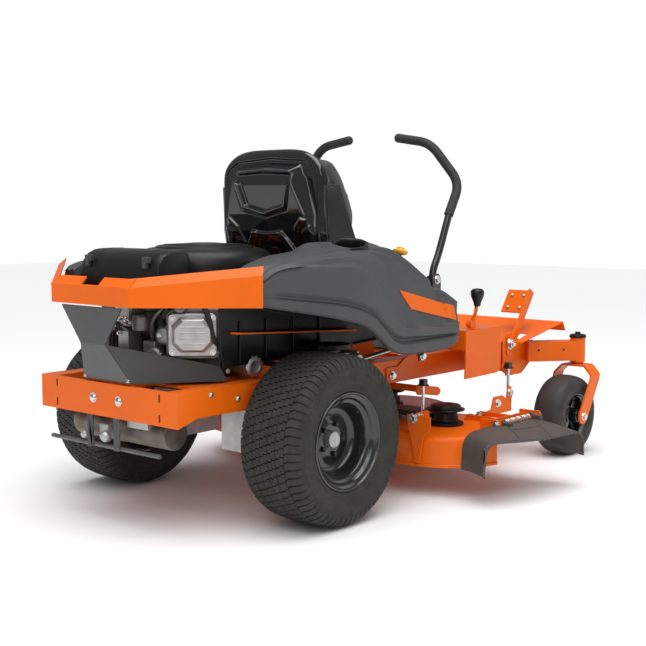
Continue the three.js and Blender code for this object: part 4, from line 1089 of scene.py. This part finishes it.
def inflate(obj, voxel, pressure, cap):
    """Swells a closed shape as a stuffed cover would, by cloth simulation, with each point's travel capped."""
    remesh = obj.modifiers.new("even", "REMESH")
    remesh.mode = "VOXEL"
    remesh.voxel_size = voxel * MM
    baked(obj)
    rest = read(obj, "co")
    cloth = obj.modifiers.new("cloth", "CLOTH")
    cloth.settings.use_pressure = True
    cloth.settings.uniform_pressure_force = pressure
    cloth.settings.quality = 4
    cloth.settings.tension_stiffness = 22
    cloth.settings.bending_stiffness = 2
    cloth.settings.effector_weights.gravity = 0
    cloth.point_cache.frame_start = 1
    cloth.point_cache.frame_end = SIMULATED_FRAMES
    for number in range(1, SIMULATED_FRAMES + 1):
        bpy.context.scene.frame_set(number)
    baked(obj)
    travel = read(obj, "co") - rest
    length = np.linalg.norm(travel, axis=1, keepdims=True)
    travel *= np.minimum(1, cap * MM / np.maximum(length, 1e-9))
    obj.data.vertices.foreach_set("co", (rest + travel).ravel())
    bpy.context.scene.frame_set(1)


def add_pad(name, outline, node, seams):
    """A padded piece from its side view, pulled in at its ends, swollen, and pressed in along its seams.

    A seam is an axis, a place on it, a depth and a width; one across the seat spares the side bolsters."""
    centre = Vector([sum(p[i] for p in outline) / len(outline) for i in (0, 1)])
    rings = []
    for t in stations(-1, 1, 17):
        pull = 1 - 0.16 * abs(t) ** 5
        rings.append([(centre.x + (x - centre.x) * pull, PAD_HALF * t, centre.y + (z - centre.y) * pull)
                      for x, z in outline])
    obj = make_object(name, Shape().rings(rings), 0)
    subdivided(obj, 2)
    inflate(obj, PAD_VOXEL, PAD_PRESSURE, PAD_TRAVEL)
    co = read(obj, "co")
    places = {"x": (co[:, 0] - AXLE.x) / MM, "y": np.abs(co[:, 1] - AXLE.y) / MM, "z": co[:, 2] / MM}
    depth = np.zeros(len(co))
    for axis, place, deep, wide in seams:
        distance = np.abs(places[axis] - place)
        if axis != "y":
            distance = np.where(places["y"] < PAD_HALF * 0.62, distance, 1e6)
        depth = np.maximum(depth, deep * np.exp(-(distance / wide) ** 2))
    co -= read(obj, "normal") * depth[:, None] * MM
    obj.data.vertices.foreach_set("co", co.ravel())
    subdivided(obj, 1)
    obj.data.shade_smooth()
    dress(obj, "seat", "vinyl", [node])


add_pad("cushion", [(362, 768), (400, 728), (470, 720), (590, 726), (632, 746), (642, 772), (622, 798),
                    (560, 808), (450, 806), (380, 802)],
        "seat_cushion", [("y", 126, 7, 5), ("x", 470, 5, 5), ("x", 560, 5, 5)])
add_pad("backrest", [(290, 1030), (300, 940), (316, 860), (350, 792), (412, 796), (442, 850), (446, 900),
                     (422, 970), (372, 1052), (330, 1100), (292, 1094)],
        "seat_backrest", [("y", 122, 7, 5), ("z", 900, 5, 5), ("z", 985, 5, 5)])

# ------------------------------------------------------------------ controls
def add_lap_bar(letter, side):
    y = -361
    frame_bar = Shape()
    frame_bar.tube([(645, y, 622), (645, y, 713), (679, y, 769), (741, y, 910)], 12.5, 32, 40, 8)
    frame_bar.prism([(621, 619), (667, 619), (669, 690), (656, 708), (634, 708), (621, 690)], "y", y - 20, y - 11.5)
    frame_bar.prism([(630, 640), (660, 640), (660, 700), (630, 700)], "y", y - 11.5, y + 12)
    grip = Shape()
    path = [(737, y, 903), (800, -362, 1012), (780, -251, 1152), (778, -112, 1174)]
    grip.tube(path, 16, 40, 48, 14)
    grip.dome((778, -112, 1174), (-0.02, 0.985, 0.15), 15.8)
    bolts = Shape()
    for z in (640, 688):
        bolts.bolt((645, y - 20, z), RIGHT, 13, True)
    body = f"lap_lever_{letter}"
    piece(f"lap_tube_{letter}", frame_bar.on(side), body, "black_paint", [f"lap_bar_{letter}"], bevel=1.2,
          smooth=40)
    piece(f"lap_grip_{letter}", grip.on(side), body, "grip_rubber", smooth=50)
    piece(f"lap_bolts_{letter}", bolts.on(side), body, "zinc", bevel=0.8)
    keep(f"lap_pivot_{letter}", "black_paint", 1.5)


sides(add_lap_bar)


def add_controls():
    keep("lift_pedal", "orange", 1.0)
    dots = Shape()
    for a in (0.2, 0.75):
        for b in (0.22, 0.78):
            at = Vector((1235, 0, 536)).lerp(Vector((1291, 0, 616)), a)
            dots.dome((at.x - 3.2, -357 + 92 * b, at.z + 2.2), (-0.82, 0, 0.57), 5.5)
    piece("pedal_dimples", dots, "pedal", "chrome", smooth=60)
    pivot = Shape().bolt((1140, -363, 427), RIGHT, 18)
    pivot.lathe([(0, 0), (9, 0), (9, 24), (0, 24)], (1140, -383, 427), LEFT, 24)
    piece("pedal_pivot", pivot, "chassis", "zinc", bevel=0.8)
    stick = Shape().tube([(862, -374, 526), (861.5, -392, 556), (861, -400, 600)], 6.5, 20, 14)
    stick.lathe([(0, -10), (14, -10), (14, 10), (0, 10)], (862, -372, 521), LEFT, 32)
    piece("height_stick", stick, "lever", "orange", ["height_lever"], bevel=0.8)
    knob = Shape().lathe([(0, 586), (10, 586), (12, 590), (13, 598), (17, 608), (22, 620), (24, 631), (23, 640),
                          (17, 646), (9, 648), (0, 648)], (861, -400, 0), UP, 48)
    piece("height_knob", knob, "lever", "black_plastic", smooth=60)
    stay = Shape().block(846, 878, -384, -382.4, 505.5, 539).block(846, 878, -404, -382.4, 505.2, 508)
    piece("height_stay", stay, "chassis", "orange", bevel=0.8)
    axis = unit((0.25, 0, 1))
    profile = [(0, -3), (14, -3), (22, 0), (25.2, 4), (25.8, 9), (22, 13), (15.5, 15), (13, 17), (13.5, 19.5),
               (11, 20.6), (0, 21)]
    pull = Shape().lathe(profile, (505, -330, 778), axis, 56)
    piece("engage_pull", pull, "knob", "yellow", ["pto_knob"], smooth=50)
    stem = Shape().lathe([(0, -16), (7, -16), (7, -2), (0, -2)], (505, -330, 778), axis, 24)
    piece("engage_stem", stem, "knob", "black_plastic", smooth=50)
    collar = Shape().lathe([(8, 0), (15, 0), (16, 3), (12, 6), (8, 6)], (500, -330, 752), axis, 32)
    piece("engage_collar", collar, "chassis", "black_plastic", smooth=50)
    cap_x, cap_y, ridges = 236, 335, 28
    rings = []
    for r, z in ((0.2, 787), (27, 787), (33, 784), (35.5, 779), (35.5, 763), (34, 760.5), (0.2, 760.5)):
        ring = []
        for k in range(ridges * 4):
            turn = 2 * math.pi * k / (ridges * 4)
            reach = r - (1.6 if (k % 4) < 2 and r > 30 else 0.0)
            ring.append((cap_x + reach * math.cos(turn), cap_y + reach * math.sin(turn), z))
        rings.append(ring)
    piece("tank_cap", Shape().rings(rings), "cap", "black_plastic", ["fuel_cap"], bevel=0.5)
    neck = Shape().lathe([(38, 700), (47, 700), (47, 757), (45, 760), (38, 760)], (cap_x, cap_y, 0), UP, 48)
    piece("tank_neck", neck, "chassis", "black_plastic", smooth=50)


add_controls()

# ------------------------------------------------------------------ deck
SPINDLES = ((668, -405), (868, 0), (668, 405))
DECK_R = 238.0


def deck_outline(inset):
    """The blade housing seen from above, pulled in by an inset."""
    radius = DECK_R - inset
    outline = []
    right, centre, left = SPINDLES
    for (x, y), start, end, steps in ((left, 270, -32.8, 48), (centre, 90, -90, 30), (right, 32.8, -270, 48),
                                      (centre, -147.2, -212.8, 12)):
        for k in range(steps + 1):
            turn = math.radians(start + (end - start) * k / steps)
            outline.append((x + radius * math.cos(turn), y + radius * math.sin(turn)))
    return outline


OPEN_LOOPS = 3


def over_opening(first, second):
    """Whether a stretch of the outline lies at the discharge opening, on the right."""
    x, y = (first[0] + second[0]) / 2, (first[1] + second[1]) / 2
    return y < -405 and 640 < x < 905


def add_deck():
    outer = [(0, 98), (0, 106), (3, 108.5), (3, 178), (5, 187), (11, 194), (20, 197)]
    inner = [(inset + 4, z) for inset, z in outer[:-1]] + [(22, 193)]
    shell = Shape()
    for inset, z in outer + inner:
        shell.put([(x, y, z) for x, y in deck_outline(inset)], [])
    rim = deck_outline(0)
    n, last, start = len(rim), (len(outer) - 1) * len(rim), len(outer) * len(rim)
    is_open = [over_opening(rim[k], rim[(k + 1) % n]) for k in range(n)]
    for j in range(len(outer) - 1):
        for k in range(n):
            a, b = j * n + k, j * n + (k + 1) % n
            if not (is_open[k] and j < OPEN_LOOPS):
                shell.faces.append([a, b, b + n, a + n])
                shell.faces.append([start + a, start + a + n, start + b + n, start + b])
    for k in range(n):
        low = OPEN_LOOPS * n if is_open[k] else 0
        a, b = low + k, low + (k + 1) % n
        shell.faces.append([a, start + a, start + b, b])
    shell.faces.append([last + k for k in range(n)])
    shell.faces.append([start + last + k for k in reversed(range(n))])
    piece("blade_housing", shell, "deck", "orange", ["deck_shell"], smooth=40)
    extras = Shape()
    rear_tab = [(475, 192), (555, 192), (555, 254), (547, 262), (483, 262), (475, 254)]
    front_tab = [(872, 192), (1065, 192), (1065, 277), (1057, 285), (1045, 285), (1037, 277), (1030, 240),
                 (1005, 257), (946, 257), (930, 215), (872, 206)]
    wing = [(-425, 266), (-515, 266), (-515, 225), (-488, 198), (-474, 112), (-458, 112), (-425, 245)]
    for flip in (1, -1):
        for tab in (rear_tab, front_tab):
            extras.prism(tab, "y", *sorted((flip * -415, flip * -420)))
    for flip in (1, -1):
        extras.prism([(y * flip, z) for y, z in wing], "x", 424.5, 429.5)
        extras.block(470, 560, *sorted((flip * -414.8, flip * -380)), 197.2, 202)
    piece("deck_brackets", extras, "deck", "orange", bevel=1.2)
    bolts = Shape()
    for flip in (1, -1):
        bolts.bolt((424.5, flip * -450, 256), BACK, 14)
        for x, z in ((1051, 262), (500, 246), (970, 232)):
            bolts.bolt((x, flip * -420, z), (0, -flip, 0), 13)
    piece("deck_bolts", bolts, "deck", "zinc", bevel=0.8)
    caps = Shape()
    for x, y in SPINDLES:
        caps.lathe([(0, 264), (20, 264), (22, 266), (43, 266), (50, 264), (52, 261), (52, 253), (64, 252), (66, 250),
                    (64, 246.5), (0, 246.5)], (x, y, 0), UP, 64)
    piece("spindle_caps", caps, "deck", "black_plastic", smooth=35)
    keep("belt_cover", "black_plastic", 3.0)
    for letter in "rcl":
        keep(f"blade_{letter}", "steel", 1.0)


add_deck()


CHUTE_ROWS = (
    (-606, ((470, 104), (476, 180), (492, 204), (530, 215), (620, 217), (700, 218), (780, 217), (850, 216), (884, 208),
            (894, 190), (896, 150))),
    (-652, ((460, 104), (464, 180), (482, 206), (520, 217), (610, 218), (700, 218), (780, 217), (850, 216), (884, 208),
            (896, 188), (900, 146))),
    (-715, ((432, 102), (436, 178), (454, 202), (500, 213), (600, 213), (690, 209), (790, 206), (868, 204), (898, 194),
            (912, 176), (915, 126))),
    (-772, ((396, 98), (402, 170), (424, 196), (474, 208), (588, 203), (680, 197), (800, 193), (868, 191), (910, 180),
            (929, 162), (931, 102))),
    (-786, ((394, 98), (400, 166), (421, 191), (470, 203), (590, 197), (684, 191), (800, 187), (868, 186), (911, 176),
            (930, 158), (932, 100))),
)
CHUTE_COLUMNS = 96
CHUTE_EDGE = line((300, -560), (392, -679), (421, -716), (429, -722), (560, -768), (640, -784), (1000, -786))


def resampled(outline, count):
    """A profile with evenly spaced points and eased corners."""
    points = np.array(outline, float)
    along = np.concatenate([[0], np.cumsum(np.hypot(*np.diff(points, axis=0).T))])
    eased = []
    for value in np.linspace(0, along[-1], count):
        near = [value + ease for ease in (-14, -7, 0, 7, 14)] if 14 < value < along[-1] - 14 else [value]
        eased.append([np.mean(np.interp(near, along, points[:, k])) for k in (0, 1)])
    return np.array(eased)


def add_chute_skin():
    rows = np.array([resampled(outline, CHUTE_COLUMNS) for _, outline in CHUTE_ROWS])
    places = [y for y, _ in CHUTE_ROWS][::-1]
    rings = []
    for y in np.linspace(CHUTE_ROWS[0][0], CHUTE_ROWS[-1][0], 40):
        ring = []
        for k in range(CHUTE_COLUMNS):
            x, z = (float(np.interp(y, places, rows[::-1, k, axis])) for axis in (0, 1))
            x = max(x, 428.0 if y < -718 else 0.0)
            ring.append((x, max(y, CHUTE_EDGE(x)), z))
        rings.append(ring)
    obj = thickened("chute_skin", Shape().rings(rings, closed=False, caps=False), 6, 1.6, 50)
    obj.data.set_sharp_from_angle(angle=math.radians(50))
    dress(obj, "chute", "chute_rubber", ["discharge_chute"])
    extras = Shape()
    for x in (672, 858):
        extras.lathe([(8, -9), (13, -9), (14, -7), (14, 7), (13, 9), (8, 9)], (x, -626, 224), AHEAD, 32, True)
        extras.block(x - 8, x + 8, -664, -634, 214, 231)
    piece("chute_lugs", extras, "chute", "chute_rubber", bevel=2.0, smooth=40)
    return obj


def add_chute():
    keep("chute_bracket", "orange", 0.8)
    bracket = Shape()
    bracket.block(794, 800, -560, -402, 197.4, 214).block(880, 886, -560, -402, 197.4, 214)
    bracket.block(786, 900, -559, -545, 197.4, 203)
    bracket.block(786, 900, -420, -402, 197.4, 203)
    piece("chute_stay", bracket, "deck", "orange", bevel=0.8)
    hardware = Shape()
    for at, axis in (((812, -552, 203), UP), ((812, -411, 203), UP), ((868, -552, 203), UP),
                     ((868, -411, 203), UP), ((896, -626, 224), AHEAD), ((636, -626, 224), BACK)):
        hardware.bolt(at, axis, 13)
    piece("chute_bolts", hardware, "deck", "zinc", bevel=0.8)
    spring = Shape().spring((690, -626, 224), (840, -626, 224), 11, 1.6, 18)
    piece("chute_spring", spring, "deck", "zinc", smooth=60)


add_chute()


THREADS = 30


def add_hangers():
    for place, x, low, high in (("rear", 545, 244, 363), ("front", 1071, 240, 366)):
        for letter, side in (("r", -1), ("l", 1)):
            y = side * 400
            profile = [(0, low - 5), (5.8, low - 5)]
            for k in range(THREADS):
                z = low + (high - low) * k / THREADS
                profile += [(5.8, z), (5.2, z + (high - low) / THREADS / 2)]
            profile += [(5.8, high), (0, high)]
            rod = Shape().lathe(profile, (x, y, 0), UP, 24)
            rod.tube([(x, y, low + 4), (x, y + side * 14.5, low + 4)], 5.8, 20, 0)
            piece(f"{place}_rod_{letter}", rod, "deck", "zinc", [f"{place}_hanger_{letter}"],
                  smooth=50)
            nuts = Shape().bolt((x, y, high - 20), UP, 17).bolt((x, y, high - 12), UP, 17, washer=False)
            piece(f"{place}_nuts_{letter}", nuts, "deck", "black_paint", bevel=0.8)


add_hangers()


# ------------------------------------------------------------------ between the wheels
def add_details():
    mat = Shape()
    for k in range(34):
        y = -240 + 480 * k / 33
        mat.block(650, 1150, y - 5, y + 5, 434.3, 439.5)
    mat.block(648, 1152, -248, 248, 434.2, 436.4)
    piece("floor_mat", mat, "chassis", "mat_rubber", bevel=1.0, segments=1)
    piece("brake_rod", Shape().tube([(700, -250, 402), (1140, -250, 402)], 5, 12), "chassis", "steel", smooth=60)


add_details()

# The bumper's lower edge is black.
BUMPER_BLACK_BELOW = 0.325
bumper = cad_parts["rear_bumper"]
bumper.data.materials.append(MATERIALS["black_paint"])
for face in bumper.data.polygons:
    if (bumper.matrix_world @ face.center).z < BUMPER_BLACK_BELOW:
        face.material_index = 1

# ------------------------------------------------------------------ caster forks
def add_fork(letter, side):
    y0 = -482
    fork = Shape()
    strap = [(-82, 290), (-81, 299), (-78, 304), (-52, 331), (-47, 334), (-40, 335), (40, 335), (47, 334), (52, 331),
             (78, 304), (81, 299), (82, 290)]
    rings = []
    for k, (y, z) in enumerate(strap):
        before, after = Vector(strap[max(0, k - 1)]), Vector(strap[min(len(strap) - 1, k + 1)])
        run = (after - before).normalized()
        in_y, in_z = y + 8 * run.y, z - 8 * run.x
        drop = 4 * (335 - z) / 42.0
        rings.append([(x - drop, y0 + a, b) for x, a, b in ((1399, y, z), (1467, y, z), (1467, in_y, in_z),
                                                            (1399, in_y, in_z))])
    fork.rings(rings)
    leg = [(1395, 296), (1463, 296), (1457, 276)]
    for k in range(13):
        turn = math.radians(-29 - 180 * k / 12)
        leg.append((1341 + 29 * math.cos(turn), 150 + 29 * math.sin(turn)))
    leg.append((1391, 282))
    for flip in (1, -1):
        fork.prism(leg, "y", *sorted((y0 + flip * 74, y0 + flip * 82)))
    fork.lathe([(0, 335), (22, 335), (22, 341), (12, 341), (12, 434), (0, 434)], (1433, y0, 0), UP, 32)
    cap = Shape().lathe([(0, 435.3), (28, 435.3), (30, 437), (30, 440), (28, 442.5), (16, 443.5), (15, 447), (0, 447)],
                        (1433, y0, 0), UP, 40)
    body = f"caster_{letter}"
    piece(f"fork_{letter}", fork.on(side), body, "orange", [f"caster_fork_{letter}"], bevel=1.2)
    piece(f"stem_cap_{letter}", cap.on(side), body, "black_plastic", smooth=40)


sides(add_fork)


# ------------------------------------------------------------------ steering and lift details beside the rails
def add_linkage(letter, side):
    steel = Shape().tube([(80, -330, 424), (520, -330, 470)], 8, 20)
    for x, z in ((80, 424), (520, 470)):
        steel.lathe([(0, -12), (13, -12), (15, 0), (13, 12), (0, 12)], (x, -330, z), LEFT, 24)
    strap = Shape().block(560, 596, -372, -367, 420, 520)
    strap.block(566, 590, -372, -340, 520, 524)
    orange = Shape()
    orange.prism([(470, 348), (560, 348), (640, 430), (640, 500), (620, 500), (600, 440), (530, 400), (470, 400)], "y",
                 -306, -301)
    orange.prism([(1104, 350), (1176, 350), (1182, 440), (1160, 466), (1118, 466), (1100, 440)], "y", -357, -352)
    orange.block(1104, 1176, -352, -300.5, 350, 355)
    bolts = Shape()
    for x, y, z in ((578, -372, 436), (578, -372, 504), (500, -306, 372), (630, -306, 470)):
        bolts.bolt((x, y, z), RIGHT, 13)
    piece(f"steering_rod_{letter}", steel.on(side), "chassis", "steel", smooth=50)
    piece(f"damper_strap_{letter}", strap.on(side), "chassis", "black_paint", bevel=1.0)
    piece(f"rail_brackets_{letter}", orange.on(side), "chassis", "orange", bevel=1.0)
    piece(f"rail_bolts_{letter}", bolts.on(side), "chassis", "zinc", bevel=0.8)


sides(add_linkage)


def add_guard_end(letter, side):
    """The last stretch of the engine guard, where it meets the fender."""
    along, across = 0.6397, 0.7688
    run = Vector((along, across * side, 0))
    into = Vector((across, -along * side, 0))
    start = Vector((-294, 433 * side, 0))
    rings = []
    for reach, top in ((0, 742), (30, 745.5)):
        outer = start + run * reach
        inner = outer + into * 3.5
        fold_out = outer + into * 26
        rings.append([(outer.x, outer.y, 655), (outer.x, outer.y, top), (fold_out.x, fold_out.y, top + 24),
                      (fold_out.x, fold_out.y, top + 20), (inner.x, inner.y, top - 3), (inner.x, inner.y, 655)])
    piece(f"guard_end_{letter}", Shape().rings(rings), "chassis", "orange", bevel=0.8)


sides(add_guard_end)


FAN_BLADES = 10


def add_well(letter, side):
    """The dark wall beside the engine, and the drive's fan and casting below the fender."""
    liner = Shape()
    profile = [(-250, 655), (-250, 520), (-236, 470), (330, 470), (345, 480), (345, 520), (300, 560), (180, 640),
               (60, 655)]
    liner.prism(profile, "y", -262, -257)
    for x in (-170, -60, 60, 180):
        liner.prism([(x - 6, 480), (x + 6, 480), (x + 6, 600), (x - 6, 600)], "y", -268, -262)
    bar = Shape().prism([(-210, 566), (330, 534), (330, 539), (-210, 571)], "y", -292, -262)
    fan = Shape()
    blade = ((-9, 500), (9, 508), (9, 510.5), (-9, 502.5))
    for k in range(FAN_BLADES):
        turn = 2 * math.pi * k / FAN_BLADES
        c, t = math.cos(turn), math.sin(turn)
        fan.rings([[(150 + r * c - w * t, -330 + r * t + w * c, z) for w, z in blade] for r in (18, 62)])
    fan.lathe([(0, 494), (20, 494), (22, 512), (14, 517), (0, 518)], (150, -330, 0), UP, 32)
    fan.lathe([(62, 499), (65, 499), (65, 512), (62, 512)], (150, -330, 0), UP, 48, True)
    casting = Shape().block(90, 235, -380, -268, 440, 486)
    casting.lathe([(0, 486), (34, 486), (32, 494), (0, 494)], (150, -330, 0), UP, 32)
    casting.lathe([(0, 0), (22, 0), (24, 6), (18, 26), (0, 26)], (205, -380, 462), RIGHT, 32)
    piece(f"well_liner_{letter}", liner.on(side), "chassis", "black_plastic", bevel=2.0)
    piece(f"fender_stay_{letter}", bar.on(side), "chassis", "orange", bevel=1.0)
    piece(f"drive_fan_{letter}", fan.on(side), "chassis", "black_plastic", bevel=0.6, smooth=40)
    piece(f"drive_casting_{letter}", casting.on(side), "chassis", "cast", bevel=5.0, segments=3)


sides(add_well)


# ------------------------------------------------------------------ the chute's skin and its seams
def add_seams():
    chute = add_chute_skin()
    bpy.context.view_layer.update()
    tree = BVHTree.FromObject(chute, bpy.context.evaluated_depsgraph_get())
    seams = Shape()
    for start, end in (((690, -622), (560, -762)), ((850, -632), (716, -781)), ((628, -690), (784, -706))):
        path = []
        for k in range(25):
            x = start[0] + (end[0] - start[0]) * k / 24
            y = max(start[1] + (end[1] - start[1]) * k / 24, -783.0)
            hit = tree.ray_cast(row((x, y, 300)), Vector((0, 0, -1)))
            if hit[0] and hit[1].z > 0.3:
                path.append((x, y, hit[0].z / MM - 0.3))
        if len(path) > 3:
            seams.tube(path, 1.1, 8, 0)
    piece("chute_seams", seams, "chute", "belt", smooth=60)


add_seams()

# ------------------------------------------------------------------ floor and light
FLOOR_HALF, FLOOR_DROP = 14000, 0.0005
STUDIO_CENTRE = (0.0, 0.0, 0.6)


def add_floor():
    corners = [row((AXLE.x + x * FLOOR_HALF, y * FLOOR_HALF, 0)) for x, y in ((-1, -1), (1, -1), (1, 1), (-1, 1))]
    mesh = bpy.data.meshes.new("floor")
    mesh.from_pydata([(c.x, c.y, -FLOOR_DROP) for c in corners], [], [(0, 1, 2, 3)])
    floor = linked("floor", mesh)
    mat = bpy.data.materials.new("floor")
    mat.use_nodes = True
    shader = mat.node_tree.nodes["Principled BSDF"]
    shader.inputs["Base Color"].default_value = (0.97, 0.97, 0.97, 1)
    shader.inputs["Roughness"].default_value = 0.7
    shader.inputs["Specular IOR Level"].default_value = 0.1
    mesh.materials.append(mat)


def add_light(name, at, size, power):
    """A square soft light that points at the middle of the machine."""
    lamp = bpy.data.lights.new(name, "AREA")
    lamp.shape = "RECTANGLE"
    lamp.size = lamp.size_y = size
    lamp.energy = power
    obj = linked(name, lamp)
    obj.location = at
    obj.rotation_euler = (Vector(STUDIO_CENTRE) - Vector(at)).to_track_quat("-Z", "Y").to_euler()


def add_sky_lamp():
    """A wide soft lamp from above, which lights the whole floor evenly."""
    lamp = bpy.data.lights.new("sky", "SUN")
    lamp.energy = 2.1
    lamp.angle = math.radians(70)
    linked("sky", lamp).rotation_euler = Vector((0.35, 0.3, -1.6)).to_track_quat("-Z", "Y").to_euler()


def add_world():
    """A pale sky that lights softly, and that the camera sees as plain white."""
    world = bpy.data.worlds.new("studio")
    world.use_nodes = True
    nodes, link = world.node_tree.nodes, world.node_tree.links.new
    seen = nodes["Background"]
    seen.inputs["Color"].default_value = (1.0, 1.0, 1.0, 1)
    seen.inputs["Strength"].default_value = 1.0
    lighting = nodes.new("ShaderNodeBackground")
    lighting.inputs["Color"].default_value = (0.97, 0.985, 1.0, 1)
    lighting.inputs["Strength"].default_value = 0.34
    path = nodes.new("ShaderNodeLightPath")
    mix = nodes.new("ShaderNodeMixShader")
    link(path.outputs["Is Camera Ray"], mix.inputs[0])
    link(lighting.outputs["Background"], mix.inputs[1])
    link(seen.outputs["Background"], mix.inputs[2])
    link(mix.outputs["Shader"], nodes["World Output"].inputs["Surface"])
    bpy.context.scene.world = world


add_floor()
add_world()
add_sky_lamp()
add_light("overhead", (-0.4, -0.6, 4.2), 3.0, 45)
add_light("key", (-3.6, -2.8, 3.0), 2.4, 32)
add_light("side", (3.4, -3.2, 2.2), 2.2, 15)
add_camera()
bpy.context.scene.view_settings.view_transform = "Standard"
